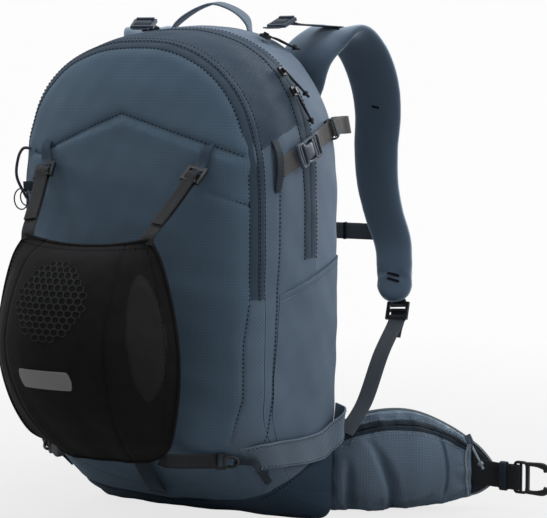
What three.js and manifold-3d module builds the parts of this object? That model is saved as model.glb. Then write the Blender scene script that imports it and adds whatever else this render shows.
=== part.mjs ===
// Ski backpack with a helmet holder, a harness and a hip belt, as separate named pieces.
// Millimetres, +Z up. The origin is the middle of the flat strip under the base,
// -Y is the outer front face that carries the helmet holder, +Y is the wearer's side,
// and +X is to the right as seen from the front.
import * as THREE from "three";
import { mergeVertices } from "three/addons/utils/BufferGeometryUtils.js";
import Module from "manifold-3d";

const wasm = await Module();
wasm.setup();

// ---------------------------------------------------------------- driving dimensions
const BACK_Y = 30; // plane of the bag's back fabric
const BAG_DEPTH = 215; // back fabric to the fullest point of the front
const BAG_HALF_WIDTH = 167; // above the side pockets
const BAG_HALF_WIDTH_LOW = 158; // beside the base
const BAG_TOP_Z = 578;
const BAG_BASE_Z = 3;
const BASE_DEPTH = 72; // depth of the bag at its very bottom
const SHOULDER_Z = 353; // where the sides stop being straight
const MIDDLE_Z = 293; // height that the front panels shrink towards
const BASE_CORNER = 16;
const SIDE_FOOT_Z = 37; // where the straight side begins
const CORNER_DRAW = 0.8; // how fast the depth shrinks beyond the flat middle of the base
const SEWN_GAP = 0.5; // clearance between neighbouring soft pieces
// Where the origin lies in the layout coordinates used below.
const ORIGIN = [0, 14, BAG_BASE_Z];

const WEBBING_20 = 20;
const WEBBING_16 = 16;
const WEBBING_30 = 30;
const WEBBING_THICK = 1.6;

const BACK_PAD_THICK = 16;
const STRAP_FOAM_THICK = 13;
const FIN_THICK = 9;
const POCKET_BULGE = 30;

// Side profile of the bag from its back edge (share 0) to the middle of its front (share 1):
// share of the way round, share of the depth, inset from the side outline.
const SIDE_PROFILE = [
  [0, 0, 9],
  [0.05, 0.05, 2],
  [0.11, 0.12, 0],
  [0.28, 0.33, 0],
  [0.48, 0.6, 6],
  [0.62, 0.77, 14],
  [0.68, 0.845, 22],
  [0.73, 0.885, 33],
  [0.82, 0.94, 66],
  [0.91, 0.98, 112],
  [1, 1, 160],
];

// ---------------------------------------------------------------- small vector helpers
const add = (a, b) => a.map((v, i) => v + b[i]);
const sub = (a, b) => a.map((v, i) => v - b[i]);
const scale = (a, k) => a.map((v) => v * k);
const dot = (a, b) => a[0] * b[0] + a[1] * b[1] + a[2] * b[2];
const cross = (a, b) => [
  a[1] * b[2] - a[2] * b[1],
  a[2] * b[0] - a[0] * b[2],
  a[0] * b[1] - a[1] * b[0],
];
const unit = (a) => scale(a, 1 / Math.hypot(...a));
const mix = (a, b, t) => (Array.isArray(a) ? a.map((v, i) => v + (b[i] - v) * t) : a + (b - a) * t);
const clamp = (v, lo, hi) => Math.min(hi, Math.max(lo, v));
const smooth = (t) => t * t * (3 - 2 * t);

// A smooth curve through a list of knots [x, y, ...], read at x.
function knotCurve(knots, x, column) {
  const last = knots.length - 1;
  let k = 0;
  while (k < last - 1 && knots[k + 1][0] <= x) k += 1;
  const slope = (i) => {
    const a = knots[Math.max(0, i - 1)];
    const b = knots[Math.min(last, i + 1)];
    return (b[column] - a[column]) / (b[0] - a[0]);
  };
  const h = knots[k + 1][0] - knots[k][0];
  const t = (x - knots[k][0]) / h;
  const t2 = t * t;
  const t3 = t2 * t;
  return (
    (2 * t3 - 3 * t2 + 1) * knots[k][column] +
    (t3 - 2 * t2 + t) * h * slope(k) +
    (3 * t2 - 2 * t3) * knots[k + 1][column] +
    (t3 - t2) * h * slope(k + 1)
  );
}

// ---------------------------------------------------------------- solids from points
function signedVolume(points, faces) {
  return faces.reduce((sum, [a, b, c]) => sum + dot(points[a], cross(points[b], points[c])), 0);
}

function solid(points, faces) {
  const turned = signedVolume(points, faces) < 0 ? faces.map(([a, b, c]) => [a, c, b]) : faces;
  const geometry = new THREE.BufferGeometry();
  geometry.setAttribute("position", new THREE.Float32BufferAttribute(points.flat(), 3));
  geometry.setIndex(turned.flat());
  return geometry;
}

// Closed solid between two sheets, each given as a function of (a, b) in 0..1.
function sheet(na, nb, inner, outer) {
  const points = [];
  const index = (side, i, j) => side * (na + 1) * (nb + 1) + i * (nb + 1) + j;
  for (const face of [inner, outer])
    for (let i = 0; i <= na; i += 1)
      for (let j = 0; j <= nb; j += 1) points.push(face(i / na, j / nb));
  const faces = [];
  const quad = (a, b, c, d) => faces.push([a, b, c], [a, c, d]);
  for (let i = 0; i < na; i += 1)
    for (let j = 0; j < nb; j += 1) {
      quad(index(1, i, j), index(1, i + 1, j), index(1, i + 1, j + 1), index(1, i, j + 1));
      quad(index(0, i, j), index(0, i, j + 1), index(0, i + 1, j + 1), index(0, i + 1, j));
    }
  for (let i = 0; i < na; i += 1) {
    quad(index(0, i, 0), index(0, i + 1, 0), index(1, i + 1, 0), index(1, i, 0));
    quad(index(0, i + 1, nb), index(0, i, nb), index(1, i, nb), index(1, i + 1, nb));
  }
  for (let j = 0; j < nb; j += 1) {
    quad(index(0, 0, j + 1), index(0, 0, j), index(1, 0, j), index(1, 0, j + 1));
    quad(index(0, na, j), index(0, na, j + 1), index(1, na, j + 1), index(1, na, j));
  }
  return solid(points, faces);
}

// Closed solid through a list of rings with the same number of points.
// capStart and capEnd are the middle points of the two end caps.
function loft(rings, capStart, capEnd) {
  const count = rings[0].length;
  const middle = (ring) => scale(ring.reduce(add, [0, 0, 0]), 1 / ring.length);
  const points = rings.flat();
  const faces = [];
  for (let i = 0; i < rings.length - 1; i += 1)
    for (let j = 0; j < count; j += 1) {
      const a = i * count + j;
      const b = i * count + ((j + 1) % count);
      faces.push([a, b, b + count], [a, b + count, a + count]);
    }
  const first = points.push(capStart ?? middle(rings[0])) - 1;
  const last = points.push(capEnd ?? middle(rings[rings.length - 1])) - 1;
  const base = (rings.length - 1) * count;
  for (let j = 0; j < count; j += 1) {
    faces.push([first, (j + 1) % count, j]);
    faces.push([last, base + j, base + ((j + 1) % count)]);
  }
  return solid(points, faces);
}

// Flat strap swept along points. width and thick may be numbers or functions of the share
// of the way along; across gives the width direction.
function strap(path, across, width, thick, rounded = false) {
  const value = (v, t) => (typeof v === "function" ? v(t) : v);
  const rings = path.map((p, i) => {
    const t = i / (path.length - 1);
    const ahead = path[Math.min(path.length - 1, i + 1)];
    const behind = path[Math.max(0, i - 1)];
    const along = unit(sub(ahead, behind));
    const wish = value(across, t);
    const w = unit(sub(wish, scale(along, dot(wish, along))));
    const n = cross(along, w);
    const hw = value(width, t) / 2;
    const ht = value(thick, t) / 2;
    const corner = (u, v) => add(p, add(scale(w, u * hw), scale(n, v * ht)));
    return rounded
      ? [corner(-1, -0.4), corner(-0.8, -1), corner(0.8, -1), corner(1, -0.4),
         corner(1, 0.4), corner(0.8, 1), corner(-0.8, 1), corner(-1, 0.4)]
      : [corner(-1, -1), corner(1, -1), corner(1, 1), corner(-1, 1)];
  });
  return loft(rings);
}

// Smooth path through a few points.
function curve(points, pieces) {
  const spline = new THREE.CatmullRomCurve3(points.map((p) => new THREE.Vector3(...p)), false, "centripetal");
  return spline.getPoints(pieces).map((p) => [p.x, p.y, p.z]);
}

function box(x, y, z, at = [0, 0, 0]) {
  return new THREE.BoxGeometry(x, y, z).translate(...at);
}

function rod(radius, from, to, sides = 10) {
  const axis = new THREE.Vector3(...sub(to, from));
  const up = new THREE.Vector3(0, 1, 0);
  const turn = new THREE.Quaternion().setFromUnitVectors(up, axis.clone().normalize());
  return new THREE.CylinderGeometry(radius, radius, axis.length(), sides)
    .applyQuaternion(turn)
    .translate(...scale(add(from, to), 0.5));
}

// Round cord through points.
function cord(points, radius, pieces = 8, sides = 6) {
  const path = curve(points, pieces);
  let side = Math.abs(unit(sub(path[1], path[0]))[2]) > 0.9 ? [1, 0, 0] : [0, 0, 1];
  const rings = path.map((p, i) => {
    const ahead = path[Math.min(path.length - 1, i + 1)];
    const behind = path[Math.max(0, i - 1)];
    const along = unit(sub(ahead, behind));
    side = unit(sub(side, scale(along, dot(side, along))));
    const other = cross(along, side);
    return Array.from({ length: sides }, (_, k) => {
      const angle = (2 * Math.PI * k) / sides;
      return add(p, add(scale(side, radius * Math.cos(angle)), scale(other, radius * Math.sin(angle))));
    });
  });
  return loft(rings);
}

function toManifold(geometry) {
  const bare = new THREE.BufferGeometry();
  bare.setAttribute("position", geometry.getAttribute("position"));
  if (geometry.index) bare.setIndex(geometry.index);
  const merged = mergeVertices(bare, 1e-4);
  return new wasm.Manifold(
    new wasm.Mesh({
      numProp: 3,
      vertProperties: new Float32Array(merged.attributes.position.array),
      triVerts: new Uint32Array(merged.index.array),
    }),
  );
}

function fromManifold(body) {
  const mesh = body.getMesh();
  const points = [];
  for (let i = 0; i < mesh.numVert; i += 1) {
    const start = i * mesh.numProp;
    points.push(...mesh.vertProperties.subarray(start, start + 3));
  }
  const geometry = new THREE.BufferGeometry();
  geometry.setAttribute("position", new THREE.Float32BufferAttribute(points, 3));
  geometry.setIndex(Array.from(mesh.triVerts));
  return geometry;
}

const join = (...parts) => fromManifold(parts.map(toManifold).reduce((a, b) => a.add(b)));
const cut = (body, ...tools) =>
  fromManifold(tools.map(toManifold).reduce((a, b) => a.subtract(b), toManifold(body)));
const keep = (body, tool) => fromManifold(toManifold(body).intersect(toManifold(tool)));

// Moves a piece built at the origin (x = along, y = across, z = off the surface) into place.
function place(geometry, at, along, off) {
  const x = unit(along);
  const z = unit(sub(off, scale(x, dot(off, x))));
  const y = cross(z, x);
  const matrix = new THREE.Matrix4().makeBasis(
    new THREE.Vector3(...x),
    new THREE.Vector3(...y),
    new THREE.Vector3(...z),
  );
  matrix.setPosition(...at);
  return geometry.applyMatrix4(matrix);
}

// The geometry with shared vertices and positions only.
function welded(geometry) {
  if (geometry.index) return geometry;
  return mergeVertices(geometry.deleteAttribute("normal").deleteAttribute("uv"));
}

function mirrored(geometry) {
  const copy = welded(geometry).clone();
  const position = copy.getAttribute("position");
  for (let i = 0; i < position.count; i += 1) position.setX(i, -position.getX(i));
  const index = copy.getIndex();
  for (let i = 0; i < index.count; i += 3) {
    const second = index.getX(i + 1);
    index.setX(i + 1, index.getX(i + 2));
    index.setX(i + 2, second);
  }
  return copy;
}

// ---------------------------------------------------------------- the bag's outer form
// Outline of the back, from the bottom centre (0) up the right side to the top (0.5).
function outline(s) {
  const turn = ((s % 1) + 1) % 1;
  const side = turn > 0.5 ? -1 : 1;
  const t = turn > 0.5 ? 1 - turn : turn;
  const cornerX = BAG_HALF_WIDTH_LOW - BASE_CORNER;
  if (t < 0.08) return [side * cornerX * (t / 0.08), BAG_BASE_Z];
  if (t < 0.11) {
    const angle = ((t - 0.08) / 0.03) * (Math.PI / 2);
    const x = cornerX + BASE_CORNER * Math.sin(angle);
    return [side * x, BAG_BASE_Z + BASE_CORNER * (1 - Math.cos(angle))];
  }
  if (t < 0.13) {
    return [side * BAG_HALF_WIDTH_LOW, mix(BAG_BASE_Z + BASE_CORNER, SIDE_FOOT_Z, (t - 0.11) / 0.02)];
  }
  if (t < 0.28) {
    const f = (t - 0.13) / 0.15;
    const x = mix(BAG_HALF_WIDTH_LOW, BAG_HALF_WIDTH, clamp(f * 1.6, 0, 1) ** 0.7);
    return [side * x, mix(SIDE_FOOT_Z, SHOULDER_Z, f)];
  }
  const angle = clamp((t - 0.28) / 0.22, 0, 1) * (Math.PI / 2);
  const x = BAG_HALF_WIDTH * Math.max(0, Math.cos(angle)) ** (2 / 2.2);
  const z = mix(SHOULDER_Z, BAG_TOP_Z, Math.sin(angle) ** (2 / 3.2));
  return [side * x, z];
}

// Depth of the bag at a place: full above, drawn in at the base and more at its corners.
function depthAt(x, z) {
  const corner = 14 * Math.log1p(Math.exp((Math.abs(x) - 100) / 14));
  const base = BASE_DEPTH + 1.4 * (z - BAG_BASE_Z) - CORNER_DRAW * corner;
  const blend = clamp(0.5 + (0.5 * (BAG_DEPTH - base)) / 30, 0, 1);
  const depth = mix(BAG_DEPTH, base, blend) - 30 * blend * (1 - blend);
  return Math.max(depth, 34);
}

function bagPoint(s, v) {
  const [backX, backZ] = outline(s);
  const depth = knotCurve(SIDE_PROFILE, clamp(v, 0, 1), 1);
  const inset = knotCurve(SIDE_PROFILE, clamp(v, 0, 1), 2);
  const squeeze = mix(0.586, 1, smooth(clamp((inset - 30) / 137, 0, 1)));
  const x = backX * (1 - inset / BAG_HALF_WIDTH);
  const up = clamp((backZ - SHOULDER_Z) / (BAG_TOP_Z - SHOULDER_Z), 0, 1);
  const droop = 6 * up * up * clamp(depth / 0.33, 0, 1);
  const z = MIDDLE_Z + (backZ - MIDDLE_Z) * (1 - (inset / BAG_HALF_WIDTH) * squeeze) - droop;
  return [x, BACK_Y - depth * depthAt(x, z), z];
}

function bagNormal(s, v) {
  const e = 0.004;
  const ds = sub(bagPoint(s + e, v), bagPoint(s - e, v));
  const dv = sub(bagPoint(s, Math.min(1, v + e)), bagPoint(s, Math.max(0, v - e)));
  return unit(cross(ds, dv));
}

const bagOff = (s, v, off) => add(bagPoint(s, v), scale(bagNormal(s, v), off));

// A strip or patch that lies on the bag between two clearances. at(a, b) gives [s, v].
function onBag(na, nb, at, from, to) {
  return sheet(
    na,
    nb,
    (a, b) => bagOff(...at(a, b), from),
    (a, b) => bagOff(...at(a, b), to),
  );
}

// ---------------------------------------------------------------- shared hardware
// Ladder-lock for a webbing: x along the webbing, y across, z off the surface.
function ladderLock(webbing, length = 20) {
  const half = webbing / 2;
  const body = box(length, webbing + 8, 4, [0, 0, 2]);
  const slotLength = (length - 9) / 2;
  const slotAt = slotLength / 2 + 1.5;
  const slots = [-1, 1].map((side) => box(slotLength, 2 * half + 1, 6, [side * slotAt, 0, 2]));
  const lip = box(3, webbing + 2, 3, [length / 2 - 1, 0, 4.5]);
  return cut(join(body, lip), ...slots);
}

const RELEASE_LENGTH = 30; // length of a side-release receptacle
const RELEASE_THICK = 10;
const RELEASE_EDGE = 5; // frame beside the webbing
const RELEASE_WALL = 2;

// Receptacle half, mouth at x = 0 and body towards -x.
function receptacle(webbing) {
  const wide = webbing + 2 * RELEASE_EDGE;
  const middle = RELEASE_THICK / 2;
  const inside = RELEASE_THICK - 2 * RELEASE_WALL;
  const deep = RELEASE_LENGTH - 8;
  const body = box(RELEASE_LENGTH, wide, RELEASE_THICK, [-RELEASE_LENGTH / 2, 0, middle]);
  const cavity = box(deep, wide - 2 * RELEASE_WALL, inside, [1 - deep / 2, 0, middle]);
  const windows = [-1, 1].map((side) => box(11, 6, inside, [-13, (side * wide) / 2, middle]));
  return cut(body, cavity, ...windows);
}

// Pronged half: prongs towards -x inside the receptacle, webbing frame towards +x.
function prongs(webbing) {
  const wide = webbing + 2 * RELEASE_EDGE;
  const middle = RELEASE_THICK / 2;
  const arm = RELEASE_LENGTH - 11;
  const armAt = wide / 2 - RELEASE_EDGE;
  const frame = cut(
    box(15, wide, 6, [8.5, 0, middle]),
    box(5, webbing + 1, 8, [11.5, 0, middle]),
  );
  const arms = [-1, 1].map((side) => box(arm + 2, 4, 4.4, [1.5 - arm / 2, side * armAt, middle]));
  const guide = box(arm, 3, 4, [2 - arm / 2, 0, middle]);
  return join(frame, ...arms, guide);
}

// Zip slider: x along the teeth, z off the surface.
function slider() {
  return join(box(11, 9, 3, [0, 0, 1.5]), box(6, 3, 4, [0, 0, 4]));
}

// ---------------------------------------------------------------- assembly
const root = new THREE.Group();
root.name = "ski_backpack";

const COLOURS = {
  shell: [0x36485a, 0.85],
  base: [0x243444, 0.85],
  foam: [0x5a6b7d, 0.9],
  mesh: [0x15181c, 0.9],
  webbing: [0x2b3138, 0.8],
  plastic: [0x1c232b, 0.45],
  holder: [0x101113, 0.9],
  cordage: [0x1a1c1f, 0.8],
};

function piece(name, look, geometry) {
  const bare = welded(geometry);
  bare.translate(-ORIGIN[0], -ORIGIN[1], -ORIGIN[2]);
  bare.computeVertexNormals();
  const [color, roughness] = COLOURS[look];
  const mesh = new THREE.Mesh(bare, new THREE.MeshStandardMaterial({ color, roughness }));
  mesh.name = name;
  root.add(mesh);
}

// The same piece on both sides of the pack.
function pair(name, look, geometry) {
  const bare = welded(geometry);
  piece(name + "_right", look, bare.clone());
  piece(name + "_left", look, mirrored(bare));
}

// ---------------------------------------------------------------- bag, base, back
const AROUND = 44;
const SPLIT = 0.615; // where the front compartment is sewn on, as a share of the profile

function bagRing(v) {
  return Array.from({ length: AROUND }, (_, j) => bagPoint(j / AROUND, v));
}

const splitMiddle = (v) => [0, BACK_Y - knotCurve(SIDE_PROFILE, v, 1) * BAG_DEPTH, MIDDLE_Z];
const BACK_MIDDLE = [0, BACK_Y, MIDDLE_Z];
const MAIN_EDGE = SPLIT - 0.006;
const SIDE_SHARES = [0, 0.05, 0.11, 0.28, 0.48];
const FRONT_SHARES = [0.68, 0.73, 0.82, 0.91, 0.97];
const wholeBag = loft([...SIDE_SHARES, 0.62, ...FRONT_SHARES].map(bagRing), BACK_MIDDLE);
const mainForm = loft([...SIDE_SHARES, MAIN_EDGE].map(bagRing), BACK_MIDDLE, splitMiddle(MAIN_EDGE));
const frontForm = loft([SPLIT, ...FRONT_SHARES].map(bagRing), splitMiddle(SPLIT));

// The base fabric ends on a seam that rises towards the back and towards both sides.
const BASE_SEAM_Z = 55.5; // in the middle, at the plane of the origin's y
const BASE_SEAM_RISE = 0.42;
const BASE_SEAM_SIDE = 36; // how much higher it is at the sides
const baseSeam = (x, y) => {
  const out = (Math.abs(x) / 160) ** 1.5;
  return BASE_SEAM_Z + BASE_SEAM_RISE * y + BASE_SEAM_SIDE * out;
};

// Everything above the base seam, or everything below it.
function seamBlock(shift, upper) {
  const half = 230;
  const at = (a, b) => [mix(-half, half, a), mix(-400, 200, b)];
  const face = (a, b) => {
    const [x, y] = at(a, b);
    return [x, y, baseSeam(x, y) + shift];
  };
  return sheet(20, 1, face, (a, b) => [...at(a, b), upper ? 800 : -400]);
}

piece("main_bag", "shell", keep(mainForm, seamBlock(SEWN_GAP, true)));
piece("front_compartment", "shell", keep(frontForm, seamBlock(SEWN_GAP, true)));
piece("base_panel", "base", keep(wholeBag, seamBlock(-SEWN_GAP, false)));

const PAD_TOP_Z = 520;
const PAD_BOTTOM_Z = 12;
const PAD_HALF_WIDTH = 128;
const padOutline = new THREE.Shape();
padOutline.moveTo(-PAD_HALF_WIDTH + 20, PAD_BOTTOM_Z);
padOutline.lineTo(PAD_HALF_WIDTH - 20, PAD_BOTTOM_Z);
padOutline.quadraticCurveTo(PAD_HALF_WIDTH, PAD_BOTTOM_Z, PAD_HALF_WIDTH, PAD_BOTTOM_Z + 30);
padOutline.lineTo(PAD_HALF_WIDTH, 380);
padOutline.quadraticCurveTo(PAD_HALF_WIDTH - 6, PAD_TOP_Z, 40, PAD_TOP_Z);
padOutline.lineTo(-40, PAD_TOP_Z);
padOutline.quadraticCurveTo(-PAD_HALF_WIDTH + 6, PAD_TOP_Z, -PAD_HALF_WIDTH, 380);
padOutline.lineTo(-PAD_HALF_WIDTH, PAD_BOTTOM_Z + 30);
padOutline.quadraticCurveTo(-PAD_HALF_WIDTH, PAD_BOTTOM_Z, -PAD_HALF_WIDTH + 20, PAD_BOTTOM_Z);
const backPad = new THREE.ExtrudeGeometry(padOutline, {
  depth: BACK_PAD_THICK,
  bevelEnabled: false,
  curveSegments: 6,
});
backPad.rotateX(Math.PI / 2).translate(0, BACK_Y + SEWN_GAP + BACK_PAD_THICK, 0);
piece("back_pad", "foam", backPad);
const PAD_FACE_Y = BACK_Y + SEWN_GAP + BACK_PAD_THICK;

// ---------------------------------------------------------------- side pockets and loops
const pocketFoot = (v) => 0.166 - 0.012 * v;
const pocketHem = (v) => 0.262 - 0.034 * v;
pair(
  "side_pocket",
  "shell",
  onBag(6, 5, (a, b) => {
    const v = mix(0.05, 0.47, b);
    return [mix(pocketFoot(v) + 0.004, pocketHem(v), a), v];
  }, 1.2, 3.6),
);

const SKI_LOOP_V = [0.735, 0.05];
const SKI_LOOP_SHARE = 0.0155; // width of the loop as a share of the outline
const SKI_LOOP_TOP = [
  // share of the profile, share of the outline
  [0.04, 0.176],
  [0.25, 0.1672],
  [0.65, 0.162],
  [0.74, 0.1531],
];

// Lower ski loop: wide webbing from the front edge of the base round to the back corner.
pair(
  "ski_loop",
  "webbing",
  onBag(10, 1, (a, b) => {
    const v = mix(SKI_LOOP_V[0], SKI_LOOP_V[1], a);
    return [knotCurve(SKI_LOOP_TOP, v, 1) - SKI_LOOP_SHARE * (1 - b), v];
  }, 5, 7),
);

// Daisy loop at the front end of the upper compression strap.
const alongBag = (s, v) => unit(sub(bagPoint(s + 0.004, v), bagPoint(s - 0.004, v)));
const alongProfile = (s, v) => cross(bagNormal(s, v), alongBag(s, v));
const DAISY_LIFT = [3, 6, 6, 3];
const daisyPath = [0.292, 0.3, 0.31, 0.318].map((s, i) => bagOff(s, mix(0.545, 0.53, i / 3), DAISY_LIFT[i]));
pair("daisy_loop", "webbing", strap(daisyPath, alongProfile(0.305, 0.54), 11, WEBBING_THICK));

// Upper compression strap: receptacle in front, prongs and webbing behind.
const strapS = (v) => mix(0.3244, 0.3019, (v - 0.046) / 0.444);
const releaseAt = bagPoint(strapS(0.33), 0.33);
const releaseEnd = bagPoint(strapS(0.2), 0.2);
const releaseAlong = unit(sub(releaseEnd, bagPoint(strapS(0.43), 0.43)));
const releaseOff = bagNormal(strapS(0.33), 0.33);
const releaseFoot = add(releaseAt, scale(releaseOff, 5));
const onRelease = (half) => place(half, releaseFoot, releaseAlong, releaseOff);
pair("compression_buckle_female", "plastic", onRelease(receptacle(WEBBING_20)));
pair("compression_buckle_male", "plastic", onRelease(prongs(WEBBING_20)));
const alongSide = (v, off) => bagOff(strapS(v), v, off);
const backEdge = bagPoint(strapS(0.02), 0.02);
const rearStrap = [
  alongSide(0.24, 3.2),
  alongSide(0.17, 3.2),
  alongSide(0.1, 3.6),
  alongSide(0.04, 4.6),
  // the free end is folded back over itself
  add(backEdge, [4, 9, 2]),
  add(backEdge, [10, 9, 2]),
  add(backEdge, [14, -2, 0]),
  alongSide(0.08, 8.5),
];
pair("compression_strap_rear", "webbing", strap(rearStrap, [0, 0, 1], WEBBING_20, WEBBING_THICK));

// ---------------------------------------------------------------- zips
const FRONT_ZIP_V = [0.632, 0.672];
const FRONT_ZIP_FOOT = 0.243;
const MAIN_ZIP_V = [0.315, 0.35];
const MAIN_ZIP_FOOT = 0.262;
function zipBand(foot, [v0, v1]) {
  return onBag(28, 1, (a, b) => [mix(foot, 1 - foot, a), mix(v0, v1, b)], 1.4, 3);
}
piece("front_zip", "cordage", zipBand(FRONT_ZIP_FOOT, FRONT_ZIP_V));
piece("main_zip", "cordage", zipBand(MAIN_ZIP_FOOT, MAIN_ZIP_V));

function sliderAt(s, v) {
  return place(slider(), bagOff(s, v, 3.8), alongBag(s, v), bagNormal(s, v));
}
const MAIN_ZIP_MIDDLE = (MAIN_ZIP_V[0] + MAIN_ZIP_V[1]) / 2;
const FRONT_ZIP_MIDDLE = (FRONT_ZIP_V[0] + FRONT_ZIP_V[1]) / 2;
const UPPER_SLIDER_S = 0.378;
const LOWER_SLIDER_S = 0.356;
const TOP_SLIDER = [0.43, 0.16];
const FRONT_SLIDER_S = 1 - 0.262;
piece("main_zip_slider_upper", "plastic", sliderAt(UPPER_SLIDER_S, MAIN_ZIP_MIDDLE));
piece("main_zip_slider_lower", "plastic", sliderAt(LOWER_SLIDER_S, MAIN_ZIP_MIDDLE));
piece("top_zip_slider", "plastic", sliderAt(...TOP_SLIDER));
piece("front_zip_slider", "plastic", sliderAt(FRONT_SLIDER_S, FRONT_ZIP_MIDDLE));

// Cord pull with a knot, lying on the bag from its slider down to [s, v].
const PULL_TOP_OFF = 11.5;
const PULL_FOOT_OFF = 8;
function pull(from, to) {
  const at = (t) => bagOff(...mix(from, to, t), mix(PULL_TOP_OFF, PULL_FOOT_OFF, t));
  return join(cord([at(0), at(0.4), at(0.85)], 1.3, 4), rod(2.6, at(0.8), at(1), 8));
}
piece("main_zip_pull_upper", "cordage", pull([UPPER_SLIDER_S, MAIN_ZIP_MIDDLE], [0.35, 0.28]));
piece("main_zip_pull_lower", "cordage", pull([LOWER_SLIDER_S, MAIN_ZIP_MIDDLE], [0.326, 0.285]));

// ---------------------------------------------------------------- haul loop, tool loop, cords
const HAUL_HALF = 47;
const HAUL_FOOT_Z = 581;
const haulSide = [
  [HAUL_HALF, BACK_Y - 6, HAUL_FOOT_Z],
  [37, BACK_Y, 588.5],
  [20, BACK_Y + 2, 597.5],
];
const haulPath = curve([
  ...haulSide.map(([x, y, z]) => [-x, y, z]),
  [0, BACK_Y + 2, 602.5],
  ...haulSide.toReversed(),
], 12);
const haulWidth = (t) => mix(8, WEBBING_20, smooth(clamp(Math.min(t, 1 - t) / 0.2, 0, 1)));
piece("haul_loop", "webbing", strap(haulPath, [0, 1, 0], haulWidth, 2.4));

const toolFoot = bagOff(0, 0.76, 3);
const toolTop = bagOff(0, 0.84, 3);
const toolLoop = [
  toolFoot,
  add(mix(toolFoot, toolTop, 0.25), [0, -7, -3]),
  add(mix(toolFoot, toolTop, 0.6), [0, -9, -3]),
  toolTop,
];
piece("tool_loop", "webbing", strap(curve(toolLoop, 8), [1, 0, 0], WEBBING_20, WEBBING_THICK));

const axeCord = [
  bagOff(0.7, 0.71, 2.4),
  bagOff(0.706, 0.73, 12),
  bagOff(0.716, 0.74, 15),
  bagOff(0.722, 0.72, 10),
  bagOff(0.72, 0.7, 2.6),
];
piece("axe_cord", "cordage", cord(axeCord, 1.5, 12));

// ---------------------------------------------------------------- harness
const strapPath = curve([
  [92, PAD_FACE_Y + 9, 492],
  [104, PAD_FACE_Y + 16, 535],
  [118, 84, 559],
  [134, 106, 566],
  [146, 130, 545],
  [152, 150, 508],
  [152, 162, 470],
  [146, 171, 430],
  [147, 174, 388],
  [156, 175, 348],
  [168, 173, 316],
  [175, 163, 288],
  [180, 151, 264],
  [180, 140, 248],
], 27);
const strapWidth = (t) => mix(60, 40, smooth(t)) + 6 * Math.sin(Math.PI * t);
const strapThick = (t) => STRAP_FOAM_THICK * (t > 0.97 ? 0.6 : 1);
pair("shoulder_strap", "foam", strap(strapPath, [1, 0.12, 0], strapWidth, strapThick, true));

// Load lifter: ladder-lock above the top edge of the bag, webbing forward to the strap's crown.
const lifterAt = [93, 24, 577];
const lifterAlong = [0.28, 1, 0.45];
pair("lifter_buckle", "plastic", place(ladderLock(WEBBING_20, 22), lifterAt, lifterAlong, [0, 0, 1]));
const lifterPath = [
  [99, 46, 577],
  [109, 66, 577],
  [118, 85, 578],
  [125, 99, 577],
];
pair("lifter_strap", "webbing", strap(lifterPath, [1, -0.3, 0], WEBBING_20, WEBBING_THICK));

// Lower adjustment: ladder-lock behind the strap tip, webbing down to the base corner.
const lockAt = [186, 145, 236.5];
const lockAlong = unit([0.06, -0.45, -0.9]);
pair("lower_buckle", "plastic", place(ladderLock(WEBBING_20, 22), lockAt, lockAlong, [0, 1, -0.5]));
const lowerPath = curve([
  add(lockAt, scale(lockAlong, 13.5)),
  [184, 104, 188],
  [178, 72, 136],
  [170, 46, 104],
], 8);
pair("lower_strap", "webbing", strap(lowerPath, [1, 0.1, 0], WEBBING_20, WEBBING_THICK));

// Sternum strap, clipped in the middle of the chest.
const STERNUM_Z = 326;
const STERNUM_Y = 190;
const sternumWeb = (x0, x1) => {
  const path = [x0, (x0 + x1) / 2, x1].map((x) => [x, STERNUM_Y - 4.4, STERNUM_Z]);
  return strap(path, [0, 0, 1], WEBBING_20, WEBBING_THICK);
};
piece("sternum_strap_right", "webbing", sternumWeb(32, 150));
piece("sternum_strap_left", "webbing", sternumWeb(-150, -20));
const sternumMouth = [0, STERNUM_Y - 3, STERNUM_Z];
piece("sternum_buckle_female", "plastic", place(receptacle(WEBBING_20), sternumMouth, [-1, 0, 0], [0, 1, 0]));
piece("sternum_buckle_male", "plastic", place(prongs(WEBBING_20), sternumMouth, [-1, 0, 0], [0, 1, 0]));

// ---------------------------------------------------------------- hip belt
// The left wing hangs further round towards the wearer than the right one.
const WING_PIVOT = [92, PAD_FACE_Y + 8];
const LEFT_WING_SWING = THREE.MathUtils.degToRad(24);
function swungIn(geometry) {
  return geometry
    .translate(WING_PIVOT[0], -WING_PIVOT[1], 0)
    .rotateZ(-LEFT_WING_SWING)
    .translate(-WING_PIVOT[0], WING_PIVOT[1], 0);
}
function wingPair(name, look, geometry) {
  piece(name + "_right", look, geometry.clone());
  piece(name + "_left", look, swungIn(mirrored(geometry)));
}
// Plan line of the right belt wing, with the lower and upper edge at each station.
const BELT = [
  // share, x, y, low z, high z
  [0, 92, PAD_FACE_Y + 8, 6, 92],
  [0.2, 134, 68, 4, 103],
  [0.4, 172, 96, 3.2, 119],
  [0.6, 212, 128, 3.4, 119],
  [0.8, 254, 154, 10, 98],
  [1, 300, 170, 24, 64],
];
const belt = (t, column) => knotCurve(BELT, t, column);
const beltPlan = (t) => [belt(t, 1), belt(t, 2)];
function beltOut(t) {
  const a = beltPlan(Math.max(0, t - 0.02));
  const b = beltPlan(Math.min(1, t + 0.02));
  return unit([b[1] - a[1], a[0] - b[0], 0]);
}
const beltPoint = (t, h, off) => {
  const [x, y] = beltPlan(t);
  return add([x, y, mix(belt(t, 3), belt(t, 4), h)], scale(beltOut(t), off));
};
wingPair(
  "hip_fin",
  "mesh",
  sheet(12, 5, (a, b) => beltPoint(a, b, -FIN_THICK / 2), (a, b) => beltPoint(a, b, FIN_THICK / 2)),
);
const pocketT = (a) => mix(0.21, 0.9, a);
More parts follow.
